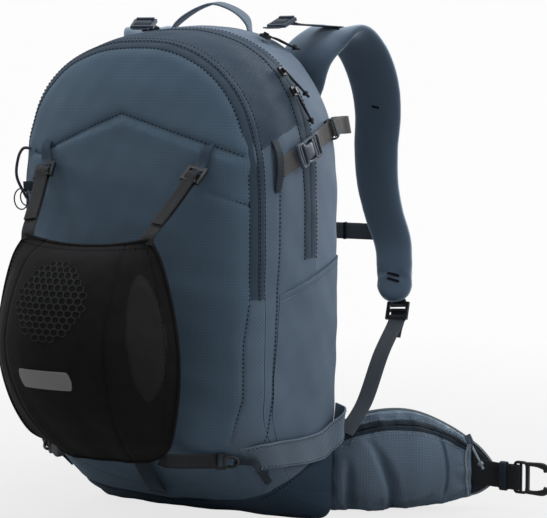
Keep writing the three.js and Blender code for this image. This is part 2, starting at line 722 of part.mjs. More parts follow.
function bulge(a, b) {
  const along = Math.sin(Math.PI * mix(0.08, 0.92, a)) ** 0.6;
  return POCKET_BULGE * along * Math.sin(Math.PI * mix(0.05, 0.95, b)) ** 0.5;
}
wingPair(
  "hip_pocket",
  "shell",
  sheet(
    9,
    7,
    (a, b) => beltPoint(pocketT(a), mix(0.01, 0.99, b), FIN_THICK / 2 + 0.8),
    (a, b) => beltPoint(pocketT(a), mix(0.01, 0.99, b), FIN_THICK / 2 + 3 + bulge(a, b)),
  ),
);

const HIP_PULL_TOP = [287, 134, 86];
const HIP_PULL_LEAN = [7, 1, -14];
const hipPull = (share) => add(HIP_PULL_TOP, scale(HIP_PULL_LEAN, share));
wingPair(
  "hip_zip_pull",
  "cordage",
  join(
    cord([hipPull(0), hipPull(1), hipPull(2)], 1.3, 4),
    rod(2.8, hipPull(1.9), hipPull(2.4), 8),
  ),
);

// Webbing and side-release buckle at the end of the wing; the belt hangs open.
const hipWebStart = beltPoint(0.935, 0.5, FIN_THICK / 2 + 1.8);
const HIP_WEB_END = [331, 165, 43];
const hipWeb = curve([hipWebStart, beltPoint(1, 0.5, FIN_THICK / 2 + 2), [316, 166, 43], HIP_WEB_END], 6);
wingPair("hip_webbing", "webbing", strap(hipWeb, [0, 0, 1], WEBBING_30, WEBBING_THICK));
const HIP_BUCKLE_X = 350;
const HIP_BUCKLE_Z = 43;
const hipSocketAt = [-HIP_BUCKLE_X - 13, 157, HIP_BUCKLE_Z];
piece(
  "hip_buckle_male",
  "plastic",
  place(prongs(WEBBING_30), [HIP_BUCKLE_X, 159, HIP_BUCKLE_Z], [-1, 0.06, 0], [0.06, 1, 0]),
);
piece(
  "hip_buckle_female",
  "plastic",
  swungIn(place(receptacle(WEBBING_30), hipSocketAt, [-1, -0.06, 0], [-0.06, 1, 0])),
);

// ---------------------------------------------------------------- helmet holder
// A stretch cover drawn out over the space for a helmet: a bowl open at the top and sides.
const HOLDER = [
  // share down the cover, height, half width, middle y, side y
  [0, 347, 78, -262, -253],
  [0.15, 322, 93, -296, -256],
  [0.35, 275, 106, -322, -258],
  [0.55, 225, 111, -328, -260],
  [0.75, 170, 103, -302, -252],
  [0.9, 128, 88, -262, -235],
  [1, 101, 70, -222, -212],
];
const cover = (t, column) => knotCurve(HOLDER, t, column);
function coverPoint(t, u, off) {
  const side = 2 * u - 1;
  const half = cover(t, 2);
  const y = mix(cover(t, 3), cover(t, 4), Math.abs(side) ** 2.6);
  return [side * half, y + off, cover(t, 1)];
}
piece(
  "holder_cover",
  "holder",
  sheet(12, 12, (a, b) => coverPoint(a, b, 1.2), (a, b) => coverPoint(a, b, -1.2)),
);

// Upper holder straps: ladder-lock below its loop on the bag, webbing down to the cover corner.
const holderLockAt = [95.5, -188, 411];
const coverCorner = [76, -253, 348];
const holderAlong = unit(sub(coverCorner, holderLockAt));
pair("holder_buckle", "plastic", place(ladderLock(WEBBING_16, 20), holderLockAt, holderAlong, [0, -1, 0.4]));
const holderUpperPath = [
  add(holderLockAt, scale(holderAlong, 12)),
  mix(holderLockAt, coverCorner, 0.6),
  add(coverCorner, [0.5, 4, 4]),
];
pair("holder_strap_upper", "webbing", strap(holderUpperPath, [1, 0, 0], WEBBING_16, WEBBING_THICK));

// Lower holder straps: webbing from the cover's foot to the base edge.
const lowerHookAt = bagOff(0.1484, 0.7225, 7);
const coverFoot = [66, -209, 102];
const holderLowerPath = [
  add(coverFoot, [6, 5, 0]),
  mix(coverFoot, lowerHookAt, 0.5),
  mix(coverFoot, lowerHookAt, 0.8),
];
pair("holder_strap_lower", "webbing", strap(holderLowerPath, [0, 0.2, 1], WEBBING_16, WEBBING_THICK));

export default root;
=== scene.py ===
"""Looks of a ski backpack with a helmet holder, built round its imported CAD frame.

Shapes are laid out in millimetres in the layout coordinates of the CAD source: +Z up, -Y the
outer front, +Y the wearer's side, +X to the right as seen from the front. Build.make() moves
them into the frame, in metres.
"""
import math

import bpy
import numpy as np
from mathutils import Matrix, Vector
from mathutils.kdtree import KDTree


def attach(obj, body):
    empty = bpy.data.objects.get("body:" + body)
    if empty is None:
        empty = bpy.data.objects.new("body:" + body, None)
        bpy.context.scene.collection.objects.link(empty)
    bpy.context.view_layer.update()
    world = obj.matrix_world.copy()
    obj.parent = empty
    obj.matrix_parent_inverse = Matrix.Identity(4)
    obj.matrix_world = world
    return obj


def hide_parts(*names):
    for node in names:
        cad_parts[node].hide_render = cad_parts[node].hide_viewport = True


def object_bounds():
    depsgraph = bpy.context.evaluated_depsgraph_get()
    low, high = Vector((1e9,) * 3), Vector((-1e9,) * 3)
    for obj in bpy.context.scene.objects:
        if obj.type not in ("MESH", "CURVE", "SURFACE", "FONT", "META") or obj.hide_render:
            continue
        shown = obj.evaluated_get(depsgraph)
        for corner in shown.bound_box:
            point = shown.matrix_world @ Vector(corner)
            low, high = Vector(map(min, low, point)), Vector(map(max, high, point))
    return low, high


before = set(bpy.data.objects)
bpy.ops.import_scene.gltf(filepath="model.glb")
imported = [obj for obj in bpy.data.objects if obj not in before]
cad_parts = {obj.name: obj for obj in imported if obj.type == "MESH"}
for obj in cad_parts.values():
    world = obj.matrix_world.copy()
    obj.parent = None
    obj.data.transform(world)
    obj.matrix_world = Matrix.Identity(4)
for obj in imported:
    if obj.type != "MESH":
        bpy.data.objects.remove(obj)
cad_low, cad_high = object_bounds()

MM = 0.001
ORIGIN = np.array([0.0, 14.0, 3.0])  # the frame's origin in layout coordinates

# ---------------------------------------------------------------- driving dimensions (mm)
BACK_Y = 30.0
BAG_DEPTH = 215.0
HALF_WIDTH = 167.0
HALF_WIDTH_LOW = 158.0
TOP_Z = 578.0
BASE_Z = 3.0
BASE_DEPTH = 72.0
SHOULDER_Z = 353.0
MIDDLE_Z = 293.0
BASE_CORNER = 16.0
FLOOR_END, CORNER_END, FOOT_END, SIDE_END = 0.08, 0.11, 0.13, 0.28  # places round the outline
SIDE_FOOT_Z = 37.0  # where the straight side begins
CORNER_DRAW = 0.8  # how fast the depth shrinks beyond the base's flat middle
FLAT_HALF = 100.0  # half width of that flat middle
CORNER_SOFT = 14.0  # how gradually the corners beyond it begin
BASE_SLOPE = 1.4  # how fast the depth grows above the base
LEAST_DEPTH = 34.0
ARCH_DROOP = 6.0  # how far the filled top sinks in front of the back edge
SPLIT = 0.615  # where the front compartment is sewn on
BASE_SEAM_Z = 55.5
BASE_SEAM_RISE = 0.42
BASE_SEAM_SIDE = 36.0  # how much higher the base's seam is at the sides
FIN_THICK = 9.0
WIDE_WEBBING = 20
HIP_WEBBING = 30
HOLDER_WEBBING = 16

# share of the way from the back edge to the middle of the front, share of the depth, inset
SIDE_PROFILE = np.array([
    [0, 0, 9], [0.05, 0.05, 2], [0.11, 0.12, 0], [0.28, 0.33, 0], [0.48, 0.6, 6],
    [0.62, 0.77, 14], [0.68, 0.845, 22], [0.73, 0.885, 33], [0.82, 0.94, 66],
    [0.91, 0.98, 112], [1, 1, 160],
])


# ---------------------------------------------------------------- small numeric helpers
def unit(v):
    return v / np.maximum(np.linalg.norm(v, axis=-1, keepdims=True), 1e-9)


def mix(a, b, t):
    return a + (b - a) * t


def smooth(t):
    t = np.clip(t, 0, 1)
    return t * t * (3 - 2 * t)


def bump(x, centre, width):
    """Soft hill of height 1 at centre."""
    return np.exp(-(((x - centre) / width) ** 2))


def knot_curve(knots, x):
    """Smooth curve through knots [x, columns...], read at x; one more axis for the columns."""
    knots = np.asarray(knots, float)
    at, values = knots[:, 0], knots[:, 1:]
    slope = np.empty_like(values)
    slope[1:-1] = (values[2:] - values[:-2]) / (at[2:] - at[:-2])[:, None]
    slope[0] = (values[1] - values[0]) / (at[1] - at[0])
    slope[-1] = (values[-1] - values[-2]) / (at[-1] - at[-2])
    x = np.asarray(x, float)
    k = np.clip(np.searchsorted(at, x, side="right") - 1, 0, len(at) - 2)
    span = at[k + 1] - at[k]
    t = ((x - at[k]) / span)[..., None]
    h = span[..., None]
    return (
        (2 * t**3 - 3 * t**2 + 1) * values[k]
        + (t**3 - 2 * t**2 + t) * h * slope[k]
        + (3 * t**2 - 2 * t**3) * values[k + 1]
        + (t**3 - t**2) * h * slope[k + 1]
    )


def lengths(line):
    """Distance along a line at each of its points."""
    return np.r_[0, np.cumsum(np.linalg.norm(np.diff(line, axis=0), axis=1))]


def resample(line, step, *extras):
    """The line at even spacing close to step, and any per-point extras read at the same places."""
    line = np.asarray(line, float)
    run = lengths(line)
    count = max(2, int(round(run[-1] / step)) + 1)
    at = np.linspace(0, run[-1], count)
    read = [np.stack([np.interp(at, run, c) for c in np.asarray(e, float).T], -1) for e in (line, *extras)]
    return read if extras else read[0]


def curve(points, step=2.0):
    """Smooth line through the points, at even spacing."""
    points = np.asarray(points, float)
    gaps = np.linalg.norm(np.diff(points, axis=0), axis=1) ** 0.5
    knots = np.c_[np.r_[0, np.cumsum(gaps)], points]
    return resample(knot_curve(knots, np.linspace(0, knots[-1, 0], 60 * len(points))), step)


def ripple(points, seed, shortest, longest, waves=7):
    """Smooth seeded unevenness between about -1 and 1."""
    rng = np.random.default_rng(seed)
    total = np.zeros(points.shape[:-1])
    for _ in range(waves):
        direction = unit(rng.normal(size=3))
        period = rng.uniform(shortest, longest)
        total += np.sin(points @ direction * (2 * math.pi / period) + rng.uniform(0, 2 * math.pi))
    return total / math.sqrt(waves)


# ---------------------------------------------------------------- mesh building
class Build:
    """Closed bodies gathered into one mesh, in layout millimetres, with UVs in millimetres."""

    def __init__(self):
        self.chunks = []

    def add(self, points, faces, uv=None, material=0):
        points = np.asarray(points, float).reshape(-1, 3)
        uv = np.zeros((len(points), 2)) if uv is None else np.asarray(uv, float).reshape(-1, 2)
        volume = 0.0
        for f in faces:
            a, b = points[f[:, 0]], points[f[:, 1]]
            for k in range(2, f.shape[1]):
                c = points[f[:, k]]
                volume += np.einsum("ij,ij->", a, np.cross(b, c))
                b = c
        if volume < 0:
            faces = [f[:, ::-1] for f in faces]
        shades = [np.broadcast_to(material, len(f)) if np.ndim(material) == 0 else material for f in faces]
        self.chunks.append((points, faces, uv, shades))
        return self

    def moved(self, change, flips):
        """A copy with change applied to its points; flips is true where change mirrors."""
        copy = Build()
        for points, faces, uv, shades in self.chunks:
            turned = [f[:, ::-1] for f in faces] if flips else faces
            copy.chunks.append((change(points), turned, uv, shades))
        return copy

    def mirrored(self):
        return self.moved(lambda p: p * np.array([-1.0, 1.0, 1.0]), True)

    def make(self, name, materials, body, slot, replaces=(), sharp=50):
        points, faces, shades, uvs, start = [], [], [], [], 0
        for chunk, chunk_faces, uv, chunk_shades in self.chunks:
            points.append(chunk)
            uvs.append(uv)
            faces += [f + start for f in chunk_faces]
            shades += chunk_shades
            start += len(chunk)
        corner = np.concatenate([f.ravel() for f in faces])
        sizes = np.concatenate([np.full(len(f), f.shape[1]) for f in faces])
        mesh = bpy.data.meshes.new(name)
        mesh.vertices.add(start)
        mesh.vertices.foreach_set("co", ((np.concatenate(points) - ORIGIN) * MM).astype(np.float32).ravel())
        mesh.loops.add(len(corner))
        mesh.loops.foreach_set("vertex_index", corner.astype(np.int32))
        mesh.polygons.add(len(sizes))
        mesh.polygons.foreach_set("loop_start", np.r_[0, np.cumsum(sizes)[:-1]].astype(np.int32))
        mesh.polygons.foreach_set("material_index", np.concatenate(shades).astype(np.int32))
        mesh.polygons.foreach_set("use_smooth", np.ones(len(sizes), bool))
        layer = mesh.uv_layers.new(name="UVMap")
        layer.data.foreach_set("uv", np.concatenate(uvs)[corner].astype(np.float32).ravel())
        mesh.update(calc_edges=True)
        if sharp:
            mesh.set_sharp_from_angle(angle=math.radians(sharp))
        for material in materials:
            mesh.materials.append(material)
        piece = bpy.data.objects.new(name, mesh)
        bpy.context.scene.collection.objects.link(piece)
        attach(piece, body)
        if replaces:
            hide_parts(*replaces)
        return piece


def cells(index):
    return np.stack([index[:-1, :-1], index[1:, :-1], index[1:, 1:], index[:-1, 1:]], -1).reshape(-1, 4)


def sheet(build, outer, inner, uv, material=0):
    """Closed body between two grids of points. material may be one index per cell."""
    rows, columns = outer.shape[:2]
    index = np.arange(2 * rows * columns).reshape(2, rows, columns)
    low, high = index

    def edge(g):
        return np.concatenate([g[0, :-1], g[:-1, -1], g[-1, :0:-1], g[:0:-1, 0]])

    rim = np.stack([edge(high), np.roll(edge(high), -1), np.roll(edge(low), -1), edge(low)], -1)
    top, under = cells(high), cells(low)[:, ::-1]
    faces = np.concatenate([top, under, rim])
    if np.ndim(material):
        per_cell = np.asarray(material).ravel()
        material = np.concatenate([per_cell, per_cell, np.zeros(len(rim), int)])
    points = np.concatenate([inner.reshape(-1, 3), outer.reshape(-1, 3)])
    return build.add(points, [faces], np.concatenate([uv.reshape(-1, 2)] * 2), material)


def loft(build, rings, uv=None, material=0):
    """Closed body through rings of points, closed at both ends."""
    count, sides = rings.shape[:2]
    index = np.arange(count * sides).reshape(count, sides)
    turned = np.roll(index, -1, axis=1)
    skin = np.stack([index[:-1], turned[:-1], turned[1:], index[1:]], -1).reshape(-1, 4)
    ends = np.stack([rings[0].mean(0), rings[-1].mean(0)])
    first, last = count * sides, count * sides + 1
    cap_a = np.stack([np.full(sides, first), turned[0], index[0]], -1)
    cap_b = np.stack([np.full(sides, last), index[-1], turned[-1]], -1)
    if uv is not None:
        uv = np.concatenate([uv.reshape(-1, 2), uv[0].mean(0)[None], uv[-1].mean(0)[None]])
    points = np.concatenate([rings.reshape(-1, 3), ends])
    return build.add(points, [skin, np.concatenate([cap_a, cap_b])], uv, material)


RIBBON_U = np.array([-1, -0.97, -0.9, -0.5, 0, 0.5, 0.9, 0.97, 1, 0.97, 0.9, 0.5, 0, -0.5, -0.9, -0.97])
RIBBON_H = np.array([0, -0.7, -1, -1, -1, -1, -1, -0.7, 0, 0.7, 1, 1, 1, 1, 1, 0.7])


def strap_frame(path, across):
    along = unit(np.gradient(path, axis=0))
    wish = np.broadcast_to(np.asarray(across, float), path.shape)
    side = unit(wish - along * np.sum(wish * along, -1, keepdims=True))
    return along, side, np.cross(along, side)


def column(value, count):
    return np.broadcast_to(np.asarray(value, float), (count,))[:, None]


def ribbon(build, path, across, width, thick=1.6, material=0, ring=(RIBBON_U, RIBBON_H)):
    """Flat webbing along a path; across is its width direction, one or one per point."""
    path = np.asarray(path, float)
    _, side, up = strap_frame(path, across)
    half = column(width, len(path)) / 2
    deep = column(thick, len(path)) / 2
    ring_u, ring_h = ring
    sideways, upward = (ring_u * half)[..., None], (ring_h * deep)[..., None]
    rings = path[:, None] + side[:, None] * sideways + up[:, None] * upward
    run = np.broadcast_to(lengths(path)[:, None], (len(path), len(ring_u)))
    return loft(build, rings, np.stack([ring_u * half, run], -1), material)


def webbing(build, points, across, width, thick, step=1.5, material=0):
    """Flat webbing along the smooth line through the points."""
    return ribbon(build, curve(points, step), across, width, thick, material)


def tube(build, path, radius, sides=8, material=0):
    """Round cord along a path."""
    path = np.asarray(path, float)
    along = unit(np.gradient(path, axis=0))
    side = np.empty_like(path)
    reach = np.array([1.0, 0, 0]) if abs(along[0, 2]) > 0.9 else np.array([0, 0, 1.0])
    for i, direction in enumerate(along):
        reach = unit(reach - direction * (reach @ direction))
        side[i] = reach
    other = np.cross(along, side)
    angle = np.linspace(0, 2 * math.pi, sides, endpoint=False)
    r = column(radius, len(path))[..., None]
    cosine, sine = np.cos(angle)[:, None], np.sin(angle)[:, None]
    rings = path[:, None] + r * (side[:, None] * cosine + other[:, None] * sine)
    run = np.broadcast_to(lengths(path)[:, None], (len(path), sides))
    around = np.broadcast_to(angle / (2 * math.pi) * 8, run.shape)
    return loft(build, rings, np.stack([around, run], -1), material)


STITCH = np.array([
    [-0.5, 0, 0.1], [-0.3, 0.5, 0], [-0.3, 0, 1], [-0.3, -0.5, 0], [-0.3, 0, -1],
    [0.3, 0.5, 0], [0.3, 0, 1], [0.3, -0.5, 0], [0.3, 0, -1], [0.5, 0, 0.1],
])
STITCH_QUADS = np.array([[1, 2, 6, 5], [2, 3, 7, 6], [3, 4, 8, 7], [4, 1, 5, 8]])
STITCH_TIPS = np.array([
    [0, 2, 1], [0, 3, 2], [0, 4, 3], [0, 1, 4], [9, 5, 6], [9, 6, 7], [9, 7, 8], [9, 8, 5],
])


def stitches(build, path, normals, pitch=4.8, length=2.8, width=1.15, height=0.7, material=0):
    """A row of sewn stitches along a path, lying on the surface with those normals."""
    at, up = resample(path, pitch, np.broadcast_to(normals, np.shape(path)))
    along = unit(np.gradient(at, axis=0))
    up = unit(up - along * np.sum(up * along, -1, keepdims=True))
    side = np.cross(up, along)
    shape = STITCH * np.array([length, width, height])
    points = (
        at[:, None]
        + along[:, None] * shape[:, 0, None]
        + side[:, None] * shape[:, 1, None]
        + up[:, None] * shape[:, 2, None]
    )
    start = (np.arange(len(at)) * len(STITCH))[:, None, None]
    quads = (STITCH_QUADS[None] + start).reshape(-1, 4)
    tips = (STITCH_TIPS[None] + start).reshape(-1, 3)
    return build.add(points, [quads, tips], None, material)


def knot(build, centre, direction, size, radius, material=0):
    """Overhand knot tied in a cord."""
    t = np.linspace(0, 2 * math.pi * 0.97, 48)
    wide, high = np.sin(t) + 2 * np.sin(2 * t), np.cos(t) - 2 * np.cos(2 * t)
    loop = np.stack([wide, high, -1.4 * np.sin(3 * t)], -1) / 3
    z = unit(np.asarray(direction, float))
    x = unit(np.cross(z, [0.3, 0.9, 0.2]))
    basis = np.stack([x, np.cross(z, x), z])
    return tube(build, np.asarray(centre, float) + loop * size @ basis, radius, 6, material)


# ---------------------------------------------------------------- the bag's outer form
def outline(s):
    """Outline of the back, from the bottom centre (0) up the right side to the top (0.5)."""
    turn = np.mod(np.asarray(s, float), 1.0)
    side = np.where(turn > 0.5, -1.0, 1.0)
    t = np.where(turn > 0.5, 1 - turn, turn)
    corner_x = HALF_WIDTH_LOW - BASE_CORNER
    round_low = np.clip((t - FLOOR_END) / 0.03, 0, 1) * (math.pi / 2)
    straight = np.clip((t - FOOT_END) / 0.15, 0, 1)
    arch = np.clip((t - SIDE_END) / 0.22, 0, 1) * (math.pi / 2)
    branches = [t < FLOOR_END, t < CORNER_END, t < FOOT_END, t < SIDE_END]
    x = np.select(
        branches,
        [
            corner_x * t / FLOOR_END,
            corner_x + BASE_CORNER * np.sin(round_low),
            np.full_like(t, HALF_WIDTH_LOW),
            mix(HALF_WIDTH_LOW, HALF_WIDTH, np.clip(straight * 1.6, 0, 1) ** 0.7),
        ],
        HALF_WIDTH * np.clip(np.cos(arch), 0, 1) ** (2 / 2.2),
    )
    z = np.select(
        branches,
        [
            np.full_like(t, BASE_Z),
            BASE_Z + BASE_CORNER * (1 - np.cos(round_low)),
            mix(BASE_Z + BASE_CORNER, SIDE_FOOT_Z, np.clip((t - CORNER_END) / 0.02, 0, 1)),
            mix(SIDE_FOOT_Z, SHOULDER_Z, straight),
        ],
        mix(SHOULDER_Z, TOP_Z, np.sin(arch) ** (2 / 3.2)),
    )
    return side * x, z


def depth_at(x, z):
    """Depth of the bag: full above, drawn in at the base."""
    corner = CORNER_SOFT * np.log1p(np.exp((np.abs(x) - FLAT_HALF) / CORNER_SOFT))
    base = BASE_DEPTH + BASE_SLOPE * (z - BASE_Z) - CORNER_DRAW * corner
    blend = np.clip(0.5 + 0.5 * (BAG_DEPTH - base) / 30, 0, 1)
    return np.maximum(mix(BAG_DEPTH, base, blend) - 30 * blend * (1 - blend), LEAST_DEPTH)


def bare_point(s, v):
    s, v = np.broadcast_arrays(np.asarray(s, float), np.asarray(v, float))
    back_x, back_z = outline(s)
    profile = knot_curve(SIDE_PROFILE, np.clip(v, 0, 1))
    depth, inset = profile[..., 0], profile[..., 1]
    squeeze = mix(0.586, 1, smooth((inset - 30) / 137))
    x = back_x * (1 - inset / HALF_WIDTH)
    up = np.clip((back_z - SHOULDER_Z) / (TOP_Z - SHOULDER_Z), 0, 1)
    droop = ARCH_DROOP * up**2 * np.clip(depth / 0.33, 0, 1)
    z = MIDDLE_Z + (back_z - MIDDLE_Z) * (1 - inset / HALF_WIDTH * squeeze) - droop
    return np.stack([x, BACK_Y - depth * depth_at(x, z), z], -1)


def bag_normal(s, v):
    e = 0.003
    ds = bare_point(np.add(s, e), v) - bare_point(np.subtract(s, e), v)
    dv = bare_point(s, np.minimum(1, np.add(v, e))) - bare_point(s, np.maximum(0, np.subtract(v, e)))
    return unit(np.cross(ds, dv))


def swell(points):
    """How far the filled fabric stands off its plain form, before any seam is drawn in."""
    return 0.8 * ripple(points, 5, 60, 150) + 0.3 * ripple(points, 9, 22, 48)


def bag_point(s, v, off=0.0):
    """A point on the bag's fabric, or off it along its normal."""
    p = bare_point(s, v)
    rise = swell(p) + off
    return p + bag_normal(s, v) * rise[..., None]


def nearest_places(points, s, v):
    """Places on the bag closest to the points, from a first guess, by Gauss-Newton steps."""
    e = 0.002
    for _ in range(14):
        here = bare_point(s, v)
        ds = (bare_point(s + e, v) - bare_point(s - e, v)) / (2 * e)
        dv = (bare_point(s, v + e) - bare_point(s, v - e)) / (2 * e)
        miss = points - here
        a, b, c = np.sum(ds * ds, -1), np.sum(ds * dv, -1), np.sum(dv * dv, -1)
        p, q = np.sum(ds * miss, -1), np.sum(dv * miss, -1)
        span = a * c - b * b + 1e-3 * a * c
        s = s + 0.7 * (c * p - b * q) / span
        v = np.clip(v + 0.7 * (a * q - b * p) / span, 0.003, 0.99)
    return s, v


def track(knots, step=2.0):
    """Evenly spaced (s, v) places along the straight seams between the knots, on the bag."""
    knots = np.asarray(knots, float)
    fine = np.linspace(0, len(knots) - 1, 40 * len(knots))
    guess = np.stack([np.interp(fine, np.arange(len(knots)), c) for c in knots.T], -1)
    corners = bare_point(*knots.T)
    chords = np.stack([np.interp(fine, np.arange(len(knots)), c) for c in corners.T], -1)
    return along_places(np.stack(nearest_places(chords, *guess.T), -1), step)


def along_places(places, step=2.0):
    """Evenly spaced places along a line given by close-set (s, v) places."""
    places = np.asarray(places, float)
    return resample(bare_point(*places.T), step, places)[1]


def round_bag(v, foot, step=2.0):
    """Places along the arch at share v, from foot on the right to the same height on the left."""
    s = np.linspace(foot, 1 - foot, 900)
    return along_places(np.stack([s, np.broadcast_to(v, s.shape)], -1), step)


SEAM_SCAN = np.linspace(0, 0.95, 900)


def base_reach(s):
    """Share of the side at which the base fabric ends, for each place round the outline."""
    s = np.atleast_1d(np.asarray(s, float))
    p = bare_point(s[:, None], SEAM_SCAN[None])
    seam_z = BASE_SEAM_Z + BASE_SEAM_RISE * p[..., 1] + BASE_SEAM_SIDE * (np.abs(p[..., 0]) / 160) ** 1.5
    above = p[..., 2] - seam_z
    first = np.maximum((above > 0).argmax(1), 1)
    rows = np.arange(len(s))
    low, high = above[rows, first - 1], above[rows, first]
    share = np.clip(-low / np.maximum(high - low, 1e-9), 0, 1)
    crossing = SEAM_SCAN[first - 1] + share * SEAM_SCAN[1]
    return np.where(above[:, 0] > 0, 0.0, crossing)


BASE_END = 0.161  # place round the outline where the base's seam reaches the back edge
SIDE_FEET = np.linspace(0.1, BASE_END, 300)
SIDE_REACH = base_reach(SIDE_FEET)


def base_foot(v):
    """Place round the outline of the base's seam at share v of the side."""
    return np.interp(v, SIDE_REACH[::-1], SIDE_FEET[::-1])


OUTLINE_S = np.linspace(-1, 2, 24001)
OUTLINE_RUN = lengths(np.stack(outline(OUTLINE_S), -1))
OUTLINE_TURN = np.interp(1.0, OUTLINE_S, OUTLINE_RUN) - np.interp(0.0, OUTLINE_S, OUTLINE_RUN)


def spread(start, end, count):
    """Places between start and end, evenly spaced along the outline; one row per start."""
    share = np.linspace(0, 1, count)
    first = np.interp(start, OUTLINE_S, OUTLINE_RUN)[:, None]
    last = np.interp(end, OUTLINE_S, OUTLINE_RUN)[:, None]
    run = mix(first, last, share)
    return np.interp(run, OUTLINE_RUN, OUTLINE_S), run


def off_line(points, line):
    """Distance from each point to the nearest point of a line."""
    flat = points.reshape(-1, 3)
    best = np.full(len(flat), 1e9)
    for start in range(0, len(line), 40):
        part = line[start:start + 40]
        gap = np.linalg.norm(flat[:, None] - part[None], axis=-1).min(1)
        best = np.minimum(best, gap)
    return best.reshape(points.shape[:-1])


# ---------------------------------------------------------------- materials
def srgb(red, green, blue):
    """Linear colour from 0-255 display values."""
    c = np.array([red, green, blue]) / 255
    linear = np.where(c <= 0.04045, c / 12.92, ((c + 0.055) / 1.055) ** 2.4)
    return (*linear, 1.0)


class Graph:
    """A material and a short way to write its nodes."""

    def __init__(self, name):
        self.material = bpy.data.materials.new(name)
        self.material.use_nodes = True
        self.tree = self.material.node_tree
        self.tree.nodes.clear()

    def feed(self, socket, value):
        if isinstance(value, bpy.types.NodeSocket):
            self.tree.links.new(value, socket)
        else:
            socket.default_value = value

    def node(self, kind, settings=None, **inputs):
        made = self.tree.nodes.new("ShaderNode" + kind)
        for key, value in (settings or {}).items():
            setattr(made, key, value)
        for key, value in inputs.items():
            self.feed(made.inputs[key.replace("_", " ")], value)
        return made

    def math(self, operation, a, b=0.0):
        made = self.node("Math", {"operation": operation})
        self.feed(made.inputs[0], a)
        self.feed(made.inputs[1], b)
        return made.outputs[0]

    def times(self, a, b):
        return self.math("MULTIPLY", a, b)

    def plus(self, a, b):
        return self.math("ADD", a, b)

    def about(self, value, swing):
        """A value around one half, as a swing around zero."""
        return self.times(self.math("SUBTRACT", value, 0.5), swing)

    def mix(self, share, a, b):
        made = self.node("Mix", {"data_type": "RGBA"})
        self.feed(made.inputs[0], share)
        self.feed(made.inputs[6], a)
        self.feed(made.inputs[7], b)
        return made.outputs[2]

    def place(self, from_uv):
        """Two coordinates in millimetres: along the weft and along the warp."""
        where = self.node("TexCoord").outputs["UV" if from_uv else "Object"]
        split = self.node("SeparateXYZ", Vector=where).outputs
        if from_uv:
            return split[0], split[1]
        across = self.times(self.plus(split[0], split[1]), 1000.0)
        return across, self.times(split[2], 1000.0)

    def wave(self, coordinate, period):
        """Sine of period millimetres, between 0 and 1."""
        turned = self.math("SINE", self.times(coordinate, 2 * math.pi / period))
        return self.plus(self.times(turned, 0.5), 0.5)

    def ridge(self, coordinate, period, sharpness):
        """Thin raised line every period millimetres."""
        return self.math("POWER", self.wave(coordinate, period), sharpness)

    def noise(self, scale, detail=3.0):
        where = self.node("TexCoord").outputs["Object"]
        return self.node("TexNoise", Vector=where, Scale=scale, Detail=detail).outputs["Fac"]


def plain_weave(g, u, v):
    return g.times(g.wave(u, 0.8), g.wave(v, 0.8))


def ripstop(g, u, v):
    """Fine weave with a square grid of thicker threads."""
    grid = g.math("MAXIMUM", g.ridge(u, 3.3, 7.0), g.ridge(v, 3.3, 7.0))
    return g.plus(grid, g.times(plain_weave(g, u, v), 0.25))


def twill(period, along=1.0, across=0.35):
    """Slanting ribs; along and across set their slope in the weave's two directions."""
    def weave(g, u, v):
        slant = g.plus(g.times(u, along), g.times(v, across))
        return g.plus(g.wave(slant, period), g.times(g.wave(v, period * 0.7), 0.3))
    return weave


def webbing_weave(g, u, v):
    """Narrow woven ribs with a zigzag."""
    fold = g.math("PINGPONG", u, 2.5)
    return g.plus(g.wave(g.plus(v, fold), 1.5), g.times(g.wave(u, 5.0), 0.3))


def ribbed_tape(g, u, v):
    return g.wave(v, 2.6)


def knit(g, u, v):
    """Small interlocked loops."""
    shifted = g.plus(u, g.times(g.wave(v, 1.3), 0.5))
    return g.times(g.wave(shifted, 1.1), g.wave(v, 1.3))


def spacer(g, u, v):
    """Open spacer mesh: staggered round holes."""
    row = g.times(g.wave(u, 3.0), g.wave(v, 5.2))
    shifted = g.times(g.wave(g.plus(u, 1.5), 3.0), g.wave(g.plus(v, 2.6), 5.2))
    return g.math("SUBTRACT", 1.0, g.math("MAXIMUM", row, shifted))


def braid(g, u, v):
    return g.math("MAXIMUM", g.wave(g.plus(u, v), 1.6), g.wave(g.math("SUBTRACT", u, v), 1.6))


CLOTH_SPECULAR = 0.36


